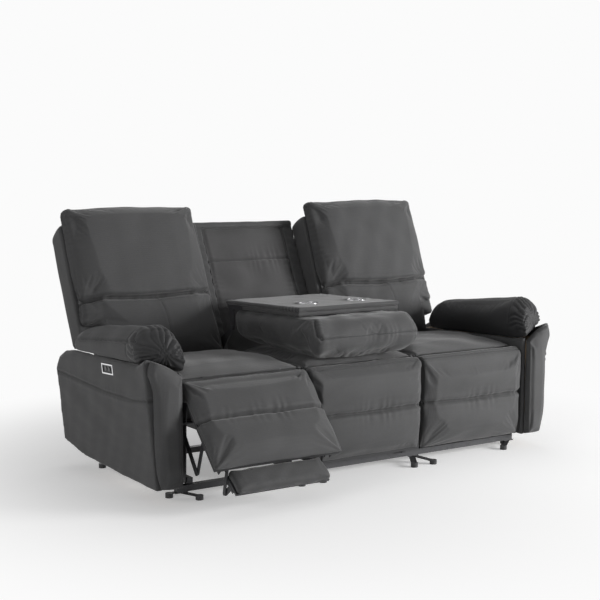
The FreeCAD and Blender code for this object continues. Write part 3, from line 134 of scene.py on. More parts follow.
class SofaHardware(bpy.types.PropertyGroup):
    """Finishes of the frame and fittings."""

    steel_colour: colour("Mechanism steel", "Black painted steel", (0.016, 0.016, 0.017))
    bright_colour: colour("Bright metal", "Cup holders, switch bezels and screws",
        (0.74, 0.74, 0.75))
    wood_colour: colour("Frame wood", "Plywood of the seat decks and arm boards",
        (0.42, 0.29, 0.17))
    plastic_colour: colour("Black plastic", "Glides, switch housings and actuator shells",
        (0.020, 0.020, 0.021))


class SofaStage(bpy.types.PropertyGroup):
    """Camera, lamps and floor."""

    camera_place: FloatVectorProperty(
        name="Camera", description="Camera position", subtype="XYZ", unit="LENGTH", size=3,
        default=(-2.8846, -4.3016, 1.2203))
    camera_turn: FloatProperty(
        name="Camera turn", description="How far the camera turns to the right of straight back",
        subtype="ANGLE", default=math.radians(33.15))
    camera_dip: FloatProperty(
        name="Camera dip", description="How far the camera looks down", subtype="ANGLE",
        default=math.radians(6.05))
    lens: FloatProperty(
        name="Lens", description="Focal length in millimetres", min=20.0, max=200.0, default=73.6)
    key_power: power("Front lamp", "Power of the large soft lamp beside the camera", 430.0)
    top_power: FloatProperty(
        name="Top lamp", description="Power of the soft lamp overhead", subtype="POWER",
        min=0.0, max=2000.0, default=34.0)
    side_power: FloatProperty(
        name="Side lamp", description="Power of the soft lamp at the left", subtype="POWER",
        min=0.0, max=2000.0, default=60.0)
    sky_level: FloatProperty(
        name="Surround", description="Light from the pale surroundings", min=0.0, max=1.0,
        default=0.12)
    floor_glow: FloatProperty(
        name="Floor paleness", description="Least paleness of the floor as the camera sees it",
        min=0.0, max=1.0, default=0.32)


# places on the sofa


def in_frame(points):
    """Drawing millimetres to the frame's metres."""
    return (np.asarray(points, float) - (0.0, FRONT_SHIFT, 0.0)) / 1000.0


def leg_place(side, x, down, out):
    """A place on a leg cover: across, down from the hinge along the board, and out from it."""
    turn = math.radians(LEG_OPEN[side])
    y, z = -out, -down
    return (x, LEG_HINGE[0] + y * math.cos(turn) + z * math.sin(turn),
            LEG_HINGE[1] - y * math.sin(turn) + z * math.cos(turn))


def leg_measure(side, P):
    """The reverse of leg_place for many points: across, down, out."""
    turn = math.radians(LEG_OPEN[side])
    y, z = P[:, 1] - LEG_HINGE[0], P[:, 2] - LEG_HINGE[1]
    return np.stack([P[:, 0], -(y * math.sin(turn) + z * math.cos(turn)),
                     -(y * math.cos(turn) - z * math.sin(turn))], 1)


def back_place(side, x, up, ahead):
    """A place on a recliner back: across, up from its hinge, and ahead of it."""
    lean = math.radians(BACK_LEAN[side])
    return (x, BACK_HINGE[0] + up * math.sin(lean) - ahead * math.cos(lean),
            BACK_HINGE[1] + up * math.cos(lean) + ahead * math.sin(lean))


def back_measure(side, P):
    """The reverse of back_place for many points: across, up, ahead."""
    lean = math.radians(BACK_LEAN[side])
    y, z = P[:, 1] - BACK_HINGE[0], P[:, 2] - BACK_HINGE[1]
    return np.stack([P[:, 0], y * math.sin(lean) + z * math.cos(lean),
                     -y * math.cos(lean) + z * math.sin(lean)], 1)


def console_place(x, ahead, up):
    """A place on the lowered console: across, ahead of its hinge, and up."""
    tilt = math.radians(CONSOLE_TILT)
    return (x, CONSOLE_HINGE[0] - ahead * math.cos(tilt) + up * math.sin(tilt),
            CONSOLE_HINGE[1] + ahead * math.sin(tilt) + up * math.cos(tilt))


def console_measure(P):
    """The reverse of console_place for many points: across, ahead, up."""
    tilt = math.radians(CONSOLE_TILT)
    y, z = P[:, 1] - CONSOLE_HINGE[0], P[:, 2] - CONSOLE_HINGE[1]
    return np.stack([P[:, 0], -y * math.cos(tilt) + z * math.sin(tilt),
                     y * math.sin(tilt) + z * math.cos(tilt)], 1)


def recess_measure(P):
    """In the middle back: across, up from the console hinge, and behind it."""
    lean = math.radians(CONSOLE_LEAN)
    y, z = P[:, 1] - CONSOLE_HINGE[0], P[:, 2] - CONSOLE_HINGE[1]
    return np.stack([P[:, 0], y * math.sin(lean) + z * math.cos(lean),
                     y * math.cos(lean) - z * math.sin(lean)], 1)


# padding


def points_of(piece):
    """The piece's vertices in drawing millimetres."""
    mesh = piece.data
    flat = np.empty(len(mesh.vertices) * 3, np.float32)
    mesh.vertices.foreach_get("co", flat)
    return flat.reshape(-1, 3).astype(float) * 1000.0 + (0.0, FRONT_SHIFT, 0.0)


def place_points(piece, P):
    """Moves the vertices to places in drawing millimetres."""
    mesh = piece.data
    mesh.vertices.foreach_set("co", in_frame(P).astype(np.float32).ravel())
    mesh.update()


def outward(piece):
    """The outward direction at each vertex."""
    mesh = piece.data
    flat = np.empty(len(mesh.vertices) * 3, np.float32)
    mesh.vertex_normals.foreach_get("vector", flat)
    return flat.reshape(-1, 3).astype(float)


def settled(piece):
    """Applies the piece's modifiers to its mesh."""
    graph = bpy.context.evaluated_depsgraph_get()
    mesh = bpy.data.meshes.new_from_object(piece.evaluated_get(graph))
    old = piece.data
    piece.modifiers.clear()
    piece.data = mesh
    mesh.name = piece.name
    bpy.data.meshes.remove(old)
    mesh.polygons.foreach_set("use_smooth", [True] * len(mesh.polygons))
    return piece


def padding_over(name, nodes, grid=None, rounds=4):
    """A closed padded skin with the form of the named solids, its hard edges rounded."""
    form = bpy.context.scene.sofa_form
    mesh = bpy.data.meshes.new(name)
    bm = bmesh.new()
    for node in nodes:
        bm.from_mesh(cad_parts[node].data)
    bmesh.ops.remove_doubles(bm, verts=bm.verts, dist=1e-6)
    bm.to_mesh(mesh)
    bm.free()
    piece = bpy.data.objects.new(name, mesh)
    bpy.context.scene.collection.objects.link(piece)
    remesh = piece.modifiers.new("Surface", "REMESH")
    remesh.mode = "VOXEL"
    remesh.voxel_size = grid or form.grid
    smooth = piece.modifiers.new("Round", "SMOOTH")
    smooth.factor = 0.5
    smooth.iterations = rounds
    return settled(piece)


def soften(piece, share, rounds=40):
    """Evens out a hard crease of the plain form, so that a sewn one can take its place."""
    group = piece.vertex_groups.new(name="soft")
    for index in np.nonzero(share > 0.02)[0]:
        group.add([int(index)], float(share[index]), "REPLACE")
    smooth = piece.modifiers.new("Soften", "SMOOTH")
    smooth.factor = 0.8
    smooth.iterations = rounds
    smooth.vertex_group = "soft"
    settled(piece)
    piece.vertex_groups.clear()


def line_distance(P, line):
    """Distance of each point from a line of points, and how far along it the nearest place is."""
    line = np.asarray(line, float)
    best = np.full(len(P), 1e9)
    along = np.zeros(len(P))
    run = 0.0
    for a, b in zip(line[:-1], line[1:]):
        d = b - a
        length = float(np.sqrt(d @ d))
        t = np.clip(((P - a) @ d) / (length * length), 0.0, 1.0)
        gap = np.sqrt((((P - a) - t[:, None] * d) ** 2).sum(1))
        near = gap < best
        best[near] = gap[near]
        along[near] = run + t[near] * length
        run += length
    return best, along


def shade_folds(piece, share):
    """Keeps how deep in a fold each point lies: the cloth's colour is darkened there as painted shade."""
    share = np.clip(share, 0.0, 1.0)
    attribute = piece.data.attributes.get("fold")
    if attribute is None:
        attribute = piece.data.attributes.new("fold", "FLOAT", "POINT")
    else:
        old = np.empty(len(share), np.float32)
        attribute.data.foreach_get("value", old)
        share = np.maximum(share, old)
    # painted shade: this attribute darkens the cloth wherever a seam, gather or wrinkle sinks in
    attribute.data.foreach_set("value", share.astype(np.float32))


def facing(piece, way, least=0.15, full=0.5):
    """1 where the surface faces the given way, fading to 0 where it turns from it."""
    way = np.asarray(way, float) / np.linalg.norm(way)
    share = np.clip((outward(piece) @ way - least) / (full - least), 0.0, 1.0)
    return share * share * (3.0 - 2.0 * share)


def sew(piece, lines, measure=None, where=None, depth=None, width=5.0, puff=0.3, pucker=1.0,
        pitch=19.0, reach=5.0, way=None):
    """Pulls the padding in along sewn lines, with a small gather of the cloth beside them."""
    form = bpy.context.scene.sofa_form
    depth = form.seam_depth * 1000.0 if depth is None else depth
    gather = form.pucker_depth * 1000.0 * pucker
    P = points_of(piece)
    M = P if measure is None else measure(P)
    size = len(lines[0][0])
    weight = np.ones(len(P)) if where is None else where(M)
    if way is not None:
        weight = weight * facing(piece, way)
    move = np.zeros(len(P))
    shade = np.zeros(len(P))
    for number, line in enumerate(lines):
        gap, along = line_distance(M[:, :size], line)
        inside = np.exp(-(gap / width) ** 2)
        beside = np.exp(-((gap - 2.4 * width) / (1.5 * width)) ** 2)
        drift = 2.6 * np.sin(along / 47.0 + number) + 1.7 * np.sin(along / 19.0 + 2.0 * number)
        wave = np.sin(along * 2 * math.pi / pitch + drift) * (0.55 + 0.45 * np.sin(along / 67.0 + 3.0))
        fade = np.exp(-(gap / (reach * width)) ** 2) * (1.0 - inside)
        move += weight * (-depth * inside + depth * puff * beside + gather * wave * fade)
        shade = np.maximum(shade, weight * inside)
    place_points(piece, P + outward(piece) * move[:, None])
    # painted shade: the seam's groove is marked darker in the cloth's colour
    shade_folds(piece, shade * 0.85 * min(1.0, depth / 9.0))


def wrinkle(piece, seed, size=90.0, depth=1.0, stretch=(1.0, 1.0, 1.0), where=None):
    """Broad soft wrinkles: a few waves in different directions, the same each time."""
    form = bpy.context.scene.sofa_form
    rng = np.random.default_rng(seed)
    P = points_of(piece)
    Q = P * np.asarray(stretch)
    move = np.zeros(len(P))
    for _ in range(WAVES):
        way = rng.normal(size=3)
        way /= np.linalg.norm(way)
        length = size * rng.uniform(0.55, 1.6)
        bend = 14.0 * np.sin(Q @ rng.normal(size=3) / (size * 1.3))
        move += np.sin((Q @ way + bend) * 2 * math.pi / length + rng.uniform(0, 6.28)) / 3.0
    folds = np.clip(-move, 0.0, 1.0)
    move = move * form.wrinkle_depth * 1000.0 * depth
    if where is not None:
        share = where(P)
        move *= share
        folds *= share
    place_points(piece, P + outward(piece) * move[:, None])
    # painted shade: the troughs of the wrinkles are marked slightly darker in the cloth's colour
    shade_folds(piece, folds * 0.12)


def gathers(piece, measure, lines, length=60.0, pitch=21.0, depth=1.6, way=None, seed=1):
    """Short folds that run away from a sewn edge, uneven in length and spacing."""
    P = points_of(piece)
    M = measure(P)
    weight = np.ones(len(P)) if way is None else facing(piece, way)
    move = np.zeros(len(P))
    for number, line in enumerate(lines):
        gap, along = line_distance(M[:, :2], line)
        spread = seed * 1.7 + number * 2.3
        phase = along * 2 * math.pi / pitch + 2.9 * np.sin(along / 53.0 + spread)
        phase = phase + 1.3 * np.sin(along / 17.0 + spread)
        phase = phase + 0.9 * np.sin(gap / 23.0 + along / 40.0)
        reach = length * (0.65 + 0.35 * np.sin(along / 31.0 + spread * 2.0))
        fade = np.exp(-(gap / reach) ** 2)
        move += np.sin(phase) * fade * (0.6 + 0.4 * np.sin(along / 71.0 + spread))
    place_points(piece, P + outward(piece) * (move * weight * depth)[:, None])
    # painted shade: the hollows of the gathers are marked darker in the cloth's colour
    shade_folds(piece, np.clip(-move, 0, 1) * weight * 0.25)


def plump(piece, slim=4.0, keep=None, limit=None, stiff=12.0):
    """Fills the cover: the cloth settles against the pressure of its filling."""
    form = bpy.context.scene.sofa_form
    start = points_of(piece)
    slimmed = start - outward(piece) * slim
    place_points(piece, slimmed)
    cloth = piece.modifiers.new("Filling", "CLOTH")
    cloth.settings.quality = 4
    cloth.settings.mass = 0.3
    cloth.settings.tension_stiffness = stiff
    cloth.settings.compression_stiffness = stiff
    cloth.settings.shear_stiffness = stiff * 0.5
    cloth.settings.bending_stiffness = 0.6
    cloth.settings.use_pressure = True
    cloth.settings.uniform_pressure_force = form.fill_pressure
    cloth.settings.effector_weights.gravity = 0.0
    cloth.collision_settings.use_collision = False
    cloth.collision_settings.use_self_collision = False
    cloth.point_cache.frame_start = 1
    cloth.point_cache.frame_end = form.settle_frames
    if keep is not None:
        held = piece.vertex_groups.new(name="held")
        for index in np.nonzero(keep(start))[0]:
            held.add([int(index)], 1.0, "REPLACE")
        cloth.settings.vertex_group_mass = "held"
    scene = bpy.context.scene
    for number in range(1, form.settle_frames + 1):
        scene.frame_set(number)
    settled(piece)
    scene.frame_set(1)
    piece.vertex_groups.clear()
    limit = form.swell_limit * 1000.0 if limit is None else limit
    move = points_of(piece) - start
    far = np.sqrt((move ** 2).sum(1))
    move *= (np.minimum(far, limit) / np.maximum(far, 1e-6))[:, None]
    place_points(piece, start + move)
    return piece


def finish_piece(piece, body, material, replaced=()):
    """Dresses a piece, puts it on its body and hides the solids it replaces."""
    piece.data.materials.clear()
    piece.data.materials.append(material)
    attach(piece, body)
    if replaced:
        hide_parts(*replaced)
    return piece


def plain_cover(name, node, body, grid, rounds, seed, size, depth):
    """A flat, firmly stretched cover without seams."""
    cover = padding_over(name, [node], grid, rounds)
    wrinkle(cover, seed, size, depth)
    finish_piece(cover, body, body_cloth(), [node])


def lay_cord(name, piece, line, radius, body, material, lift=0.3):
    """A sewn cord or row of thread that lies on a padded piece's surface."""
    tree = BVHTree.FromObject(piece, bpy.context.evaluated_depsgraph_get())
    line = np.asarray(line, float)
    steps = []
    for a, b in zip(line[:-1], line[1:]):
        count = max(2, int(np.linalg.norm(b - a) / 9.0))
        steps += [a + (b - a) * k / count for k in range(count)]
    steps.append(line[-1])
    curve = bpy.data.curves.new(name, "CURVE")
    curve.dimensions = "3D"
    curve.bevel_depth = radius / 1000.0
    curve.bevel_resolution = 2
    spline = curve.splines.new("POLY")
    spline.points.add(len(steps) - 1)
    for point, place in zip(spline.points, in_frame(steps)):
        found, normal, _, _ = tree.find_nearest(Vector(place))
        if found is None:
            raise RuntimeError(name + " found no surface to lie on")
        place = found + normal * (lift * radius / 1000.0)
        point.co = (*place, 1.0)
    cord = bpy.data.objects.new(name, curve)
    bpy.context.scene.collection.objects.link(cord)
    curve.materials.append(material)
    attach(cord, body)
    return cord


# finishes


def start_material(name):
    found = bpy.data.materials.get(name)
    if found is not None:
        return found, None
    material = bpy.data.materials.new(name)
    material.use_nodes = True
    material.node_tree.nodes.clear()
    return material, material.node_tree


def add(tree, kind, **values):
    node = tree.nodes.new(kind)
    for key, value in values.items():
        setattr(node, key, value)
    return node


def shader_end(tree):
    shader = add(tree, "ShaderNodeBsdfPrincipled")
    end = add(tree, "ShaderNodeOutputMaterial")
    tree.links.new(shader.outputs[0], end.inputs[0])
    return shader


def between(tree, factor, low, high):
    """A number that runs from low to high with the factor."""
    node = add(tree, "ShaderNodeMapRange")
    node.inputs["To Min"].default_value = low
    node.inputs["To Max"].default_value = high
    tree.links.new(factor, node.inputs["Value"])
    return node.outputs["Result"]


def tones(tree, factor, low, high):
    """A colour that runs from low to high with the factor."""
    node = add(tree, "ShaderNodeMix", data_type="RGBA")
    node.inputs[6].default_value = (*low, 1.0)
    node.inputs[7].default_value = (*high, 1.0)
    tree.links.new(factor, node.inputs[0])
    return node.outputs[2]


def darker(tree, factor, colour, depth):
    node = add(tree, "ShaderNodeMix", data_type="RGBA", blend_type="MULTIPLY")
    node.inputs[7].default_value = (depth, depth, depth, 1.0)
    tree.links.new(factor, node.inputs[0])
    tree.links.new(colour, node.inputs[6])
    return node.outputs[2]


def scaled(colour, share):
    return tuple(min(1.0, max(0.0, c * share)) for c in colour)


def noise(tree, place, scale, detail=2.0, rough=0.55):
    node = add(tree, "ShaderNodeTexNoise")
    node.inputs["Scale"].default_value = scale
    node.inputs["Detail"].default_value = detail
    node.inputs["Roughness"].default_value = rough
    tree.links.new(place, node.inputs["Vector"])
    return node.outputs["Fac"]


def ribs(tree, place, pitch, way, bend=1.2):
    node = add(tree, "ShaderNodeTexWave", bands_direction=way)
    node.inputs["Scale"].default_value = 0.31416 / pitch
    node.inputs["Distortion"].default_value = bend
    node.inputs["Detail"].default_value = 1.0
    node.inputs["Detail Scale"].default_value = 2.0
    tree.links.new(place, node.inputs["Vector"])
    return node.outputs["Fac"]


def calc(tree, how, a, b):
    node = add(tree, "ShaderNodeMath", operation=how)
    for socket, value in zip(node.inputs, (a, b)):
        if isinstance(value, (int, float)):
            socket.default_value = value
        else:
            tree.links.new(value, socket)
    return node.outputs[0]


def relief(tree, shader, height, strength, distance):
    bump = add(tree, "ShaderNodeBump")
    bump.inputs["Strength"].default_value = strength
    bump.inputs["Distance"].default_value = distance
    tree.links.new(height, bump.inputs["Height"])
    tree.links.new(bump.outputs[0], shader.inputs["Normal"])


def cloth(name, colour, sheen=0.22, rough=0.72, ribbing=1.0):
    """Brushed upholstery cloth: a fine crossed weave under a short pile with worn patches, darkened in its
    seams, gathers and wrinkle troughs as painted shade.
    """
    material, tree = start_material(name)
    if tree is None:
        return material
    fabric = bpy.context.scene.sofa_fabric
    shader = shader_end(tree)
    place = add(tree, "ShaderNodeTexCoord").outputs["Object"]
    patches = noise(tree, place, 1.0 / fabric.nap_size, 3.0)
    fibres = noise(tree, place, 520.0, 2.0, 0.7)
    grain = noise(tree, place, 120.0, 2.0)
    across = ribs(tree, place, fabric.weave_pitch, "X")
    upward = ribs(tree, place, fabric.weave_pitch, "Z")
    inward = ribs(tree, place, fabric.weave_pitch, "Y")
    weave = calc(tree, "MULTIPLY", across, calc(tree, "MULTIPLY", upward, inward))
    weave = calc(tree, "ADD", weave, calc(tree, "MULTIPLY", fibres, 0.8))
    mixed = calc(tree, "ADD", calc(tree, "MULTIPLY", patches, 0.55),
                 calc(tree, "MULTIPLY", grain, 0.25))
    mixed = calc(tree, "ADD", mixed, calc(tree, "MULTIPLY", weave, 0.16 * ribbing))
    body = tones(tree, between(tree, mixed, -0.1, 1.1), scaled(colour, 0.74), scaled(colour, 1.26))
    # painted shade: the colour is darkened where the fold attribute marks seams, gathers and wrinkle troughs
    fold = add(tree, "ShaderNodeAttribute", attribute_name="fold")
    body = darker(tree, fold.outputs["Fac"], body, 0.42)
    tree.links.new(body, shader.inputs["Base Color"])
    tree.links.new(between(tree, patches, rough - 0.07, rough + 0.1), shader.inputs["Roughness"])
    shader.inputs["Sheen Weight"].default_value = sheen
    shader.inputs["Sheen Roughness"].default_value = 0.45
    shader.inputs["Specular IOR Level"].default_value = 0.3
    relief(tree, shader, weave, 0.35 * ribbing, 0.0009)
    return material


def painted_steel(name, colour, rough=0.42):
    """Black paint over steel, with rubbed edges."""
    material, tree = start_material(name)
    if tree is None:
        return material
    shader = shader_end(tree)
    place = add(tree, "ShaderNodeTexCoord").outputs["Object"]
    mottle = noise(tree, place, 60.0, 3.0)
    orange_peel = noise(tree, place, 900.0, 1.0)
    edge = add(tree, "ShaderNodeNewGeometry").outputs["Pointiness"]
    worn = calc(tree, "MULTIPLY", between(tree, edge, -4.0, 6.0), mottle)
    tree.links.new(tones(tree, worn, colour, scaled(colour, 3.2)), shader.inputs["Base Color"])
    tree.links.new(between(tree, mottle, rough - 0.1, rough + 0.14), shader.inputs["Roughness"])
    shader.inputs["Metallic"].default_value = 0.35
    relief(tree, shader, orange_peel, 0.12, 0.0004)
    return material


def bright_metal(name, colour):
    """Brushed bright metal."""
    material, tree = start_material(name)
    if tree is None:
        return material
    shader = shader_end(tree)
    place = add(tree, "ShaderNodeTexCoord").outputs["Object"]
    stretch = add(tree, "ShaderNodeMapping")
    stretch.inputs["Scale"].default_value = (1.0, 1.0, 14.0)
    tree.links.new(place, stretch.inputs["Vector"])
    brushed = noise(tree, stretch.outputs[0], 160.0, 2.0)
    tree.links.new(tones(tree, brushed, scaled(colour, 0.86), scaled(colour, 1.1)),
                   shader.inputs["Base Color"])
    tree.links.new(between(tree, brushed, 0.12, 0.3), shader.inputs["Roughness"])
    shader.inputs["Metallic"].default_value = 1.0
    relief(tree, shader, brushed, 0.05, 0.0003)
    return material


def moulded_plastic(name, colour, rough=0.45):
    """Moulded plastic with a fine sparked grain."""
    material, tree = start_material(name)
    if tree is None:
        return material
    shader = shader_end(tree)
    place = add(tree, "ShaderNodeTexCoord").outputs["Object"]
    spark = noise(tree, place, 1400.0, 1.0)
    dust = noise(tree, place, 35.0, 3.0)
    tree.links.new(tones(tree, dust, colour, scaled(colour, 1.7)), shader.inputs["Base Color"])
    tree.links.new(between(tree, dust, rough - 0.08, rough + 0.1), shader.inputs["Roughness"])
    relief(tree, shader, spark, 0.2, 0.0002)
    return material


def plywood(name, colour):
    """Plain plywood with a soft grain."""
    material, tree = start_material(name)
    if tree is None:
        return material
    shader = shader_end(tree)
    place = add(tree, "ShaderNodeTexCoord").outputs["Object"]
    stretch = add(tree, "ShaderNodeMapping")
    stretch.inputs["Scale"].default_value = (0.6, 6.0, 6.0)
    tree.links.new(place, stretch.inputs["Vector"])
    grain = noise(tree, stretch.outputs[0], 14.0, 6.0, 0.65)
    knots = noise(tree, place, 3.0, 2.0)
    factor = calc(tree, "ADD", calc(tree, "MULTIPLY", grain, 0.8), calc(tree, "MULTIPLY", knots, 0.3))
    tree.links.new(tones(tree, factor, scaled(colour, 0.55), scaled(colour, 1.2)),
                   shader.inputs["Base Color"])
    tree.links.new(between(tree, grain, 0.55, 0.8), shader.inputs["Roughness"])
    relief(tree, shader, grain, 0.2, 0.0006)
    return material


def body_cloth():
    return cloth("body_cloth", bpy.context.scene.sofa_fabric.body_colour)


def pad_cloth():
    return cloth("pad_cloth", bpy.context.scene.sofa_fabric.pad_colour, 0.04, 0.6, 0.6)


def recess_cloth():
    return cloth("recess_cloth", bpy.context.scene.sofa_fabric.recess_colour, 0.3, 0.8, 0.7)


def thread():
    return cloth("thread", bpy.context.scene.sofa_fabric.thread_colour, 0.1, 0.6, 0.5)


# pieces


class SOFA_OT_seats(bpy.types.Operator):
    """Three seat cushions, crowned and sewn at their sides"""

    bl_idname = "sofa.seats"
    bl_label = "Seat cushions"

    def execute(self, context):
        for number, (side, centre) in enumerate(SEAT_CENTRES.items()):
            node = "seat_cushion_" + side
            piece = padding_over("seat_" + side + "_upholstery", [node])
            plump(piece, 5.0, keep=lambda P: (P[:, 2] < 392.0) | (P[:, 1] < 62.0), limit=12.0)
            borders = [
                [(centre + s * (SEAT_HALF - 15.0), 52.0), (centre + s * (SEAT_HALF - 15.0), 606.0)]
                for s in (-1.0, 1.0)
            ]
            sew(piece, borders, where=lambda M: (M[:, 2] > 440.0) * 1.0, depth=3.0, width=5.0,
                pucker=0.9, pitch=27.0, reach=7.0)
            wrinkle(piece, 11 + number, 120.0, 1.0, (1.0, 0.7, 1.0),
                    where=lambda P: np.clip((P[:, 2] - 400.0) / 30.0, 0, 1))
            finish_piece(piece, "base", body_cloth(), [node])
        return {"FINISHED"}


class SOFA_OT_leg_covers(bpy.types.Operator):
    """The rolls and leg pads in front of the three seats"""

    bl_idname = "sofa.leg_covers"
    bl_label = "Leg covers"

    def execute(self, context):
        covers = (("left", "footrest_cover_left", "footrest_left", "fabric_footrest"),
                  ("middle", "front_cover_middle", "base", "fabric_seat"),
                  ("right", "footrest_cover_right", "footrest_right", "fabric_footrest"))
        for number, (side, node, body, slot) in enumerate(covers):
            centre = SEAT_CENTRES[side]

            def unrolled(P, side=side):
                # across, along the cloth from the front of the roll downwards, and out
                M = leg_measure(side, P)
                around = np.arctan2(M[:, 2], -M[:, 1])
                run = np.where(M[:, 1] < 0, -(math.pi / 2 - around) * ROLL_RADIUS, M[:, 1])
                return np.stack([M[:, 0], run, M[:, 2]], 1)

            def in_front(M):
                return np.clip((M[:, 2] - 4.0) / 8.0, 0, 1)

            piece = padding_over(side + "_leg_upholstery", [node])

            def backing(P, side=side):
                M = leg_measure(side, P)
                return M[:, 2] < 6.0

            plump(piece, 4.0, keep=backing, limit=9.0)
            wide = SEAT_HALF - 4.0
            ends = (centre - wide, centre + wide)
            crease = [(centre + k * wide, LEG_CREASE + 1.5 * math.sin(k * 5.0 + number))
                      for k in np.linspace(-1, 1, 12)]
            sew(piece, [crease], unrolled, in_front, depth=9.0, width=7.5, puff=0.25, pucker=1.0,
                pitch=46.0, reach=5.0)
            crest = [(centre - wide, -38.0), (centre + wide, -38.0)]
            sew(piece, [crest], unrolled, lambda M: (M[:, 1] < 30.0) * (M[:, 2] > -20.0) * 1.0,
                depth=2.0, width=4.0, puff=0.3, pucker=0.4, pitch=33.0, reach=6.0)
            rim = SEAT_HALF - 13.0
            borders = [[(centre + s * rim, -20.0), (centre + s * rim, 345.0)] for s in (-1.0, 1.0)]
            sew(piece, borders, unrolled, in_front, depth=0.8, width=4.0, puff=0.0, pucker=0.3,
                pitch=24.0, reach=6.0)
            gathers(piece, unrolled, [crease], 34.0, 43.0, 1.0, seed=number + 3)
            wrinkle(piece, 31 + number, 130.0, 0.9, (0.6, 1.0, 1.0))
            finish_piece(piece, body, body_cloth(), [node])
            if side == "middle":
                crest_line = [(x, LEG_HINGE[0] - CREST_OUT, LEG_HINGE[1] - CREST_DOWN) for x in ends]
            else:
                crest_line = [leg_place(side, x, CREST_DOWN, CREST_OUT) for x in ends]
            lay_cord(side + "_leg_crest_thread", piece, crest_line, 0.7, body, thread(), 0.3)
        return {"FINISHED"}


class SOFA_OT_flip_pads(bpy.types.Operator):
    """The small flip-out pads below the leg covers"""

    bl_idname = "sofa.flip_pads"
    bl_label = "Flip-out pads"

    def execute(self, context):
        for number, (side, _) in enumerate(SIDES):
            node = "flip_pad_" + side
            piece = padding_over("flip_" + side + "_upholstery", [node], 0.0045)
            plump(piece, 3.0, limit=5.0)
            wrinkle(piece, 51 + number, 70.0, 0.8)
            finish_piece(piece, "flip_pad_" + side, body_cloth(), [node])
        return {"FINISHED"}


class SOFA_OT_backs(bpy.types.Operator):
    """Recliner back cushions and the upholstered shells behind them"""

    bl_idname = "sofa.backs"
    bl_label = "Recliner backs"

    def execute(self, context):
        for number, (side, sign) in enumerate(SIDES):
            body = "back_" + side
            shell = padding_over("back_" + side + "_shell_cover", ["back_shell_" + side], 0.0065, 3)
            wrinkle(shell, 61 + number, 160.0, 0.5)
            P = points_of(shell)
            near = np.clip((BACK_CENTRE - BACK_HALF + 24.0 - P[:, 0] * sign) / 20.0, 0, 1)
            place_points(shell, P - near[:, None] * (3.0 * sign, 0.0, 0.0))
            finish_piece(shell, body, body_cloth(), ["back_shell_" + side])

            def measure(P, side=side):
                return back_measure(side, P)

            piece = padding_over("back_" + side + "_upholstery", ["back_cushion_" + side])
            centre = sign * BACK_CENTRE
            M = back_measure(side, points_of(piece))
            level = SMILE_SEAM + SMILE_DROP * ((M[:, 0] - centre) / BACK_HALF) ** 2
            soften(piece, np.exp(-((M[:, 1] - level) / 34.0) ** 2))
            plump(piece, 5.0, keep=lambda P: back_measure(side, P)[:, 2] < 14.0, limit=14.0)

            lean = math.radians(BACK_LEAN[side])
            ahead = (0.0, -math.cos(lean), math.sin(lean))

            def smile(share):
                # the seam sags in the middle and turns down at the cushion's left end
                turned = SMILE_TURN * max(0.0, -share - 0.7) / 0.3
                return SMILE_SEAM + SMILE_DROP * share * share - turned

            seam = [(centre + k * (BACK_HALF + 4.0), smile(k)) for k in np.linspace(-1, 1, 33)]

            def between_sides(M, centre=centre):
                return np.clip((BACK_HALF - 3.0 - np.abs(M[:, 0] - centre)) / 16.0, 0, 1)

            sew(piece, [seam], measure, between_sides, depth=17.0, width=9.0, puff=0.35, pucker=0.0, way=ahead)
            gathers(piece, measure, [seam], 46.0, 53.0, 0.7, ahead, number + 5)
            sides = [[(centre + s * (BACK_HALF - 6.0), 90.0), (centre + s * (BACK_HALF - 6.0), 740.0)]
                     for s in (-1.0, 1.0)]
            gathers(piece, measure, sides[:1], 62.0, 25.0, 1.1, ahead, number + 7)
            gathers(piece, measure, sides[1:], 34.0, 31.0, 0.4, ahead, number + 9)
            dart = [(centre + 0.07 * BACK_HALF, smile(0.07) - 2.0), (centre + 0.115 * BACK_HALF, 322.0),
                    (centre + 0.145 * BACK_HALF, 290.0), (centre + 0.155 * BACK_HALF, 250.0),
                    (centre + 0.155 * BACK_HALF, 130.0)]
            sew(piece, [dart], measure, None, depth=1.8, width=4.0, puff=0.3, pucker=0.1, way=ahead)
            edge = BACK_HALF - 17.0
            border = [(centre - edge, 110.0), (centre - edge, 715.0), (centre - edge + 8.0, 741.0),
                      (centre - edge + 30.0, 757.0), (centre + edge - 30.0, 757.0),
                      (centre + edge - 8.0, 741.0), (centre + edge, 715.0), (centre + edge, 110.0)]
            sew(piece, [border], measure, None, depth=0.7, width=4.0, puff=0.2, pucker=0.0, way=ahead)
            wrinkle(piece, 71 + number, 150.0, 1.1, (1.0, 1.0, 0.8))
            finish_piece(piece, body, body_cloth(), ["back_cushion_" + side])
            dart_line = [back_place(side, x, u, 90.0) for x, u in dart]
            lay_cord("back_" + side + "_dart_thread", piece, dart_line, 0.6, body, thread(), 0.2)
        return {"FINISHED"}


def arm_band(y):
    """Height of the curved seam on the arm's outer side."""
    return float(np.interp(y, [-2.0, 122.0, 389.0, 777.0], [396.0, 381.0, 378.0, 393.0]))


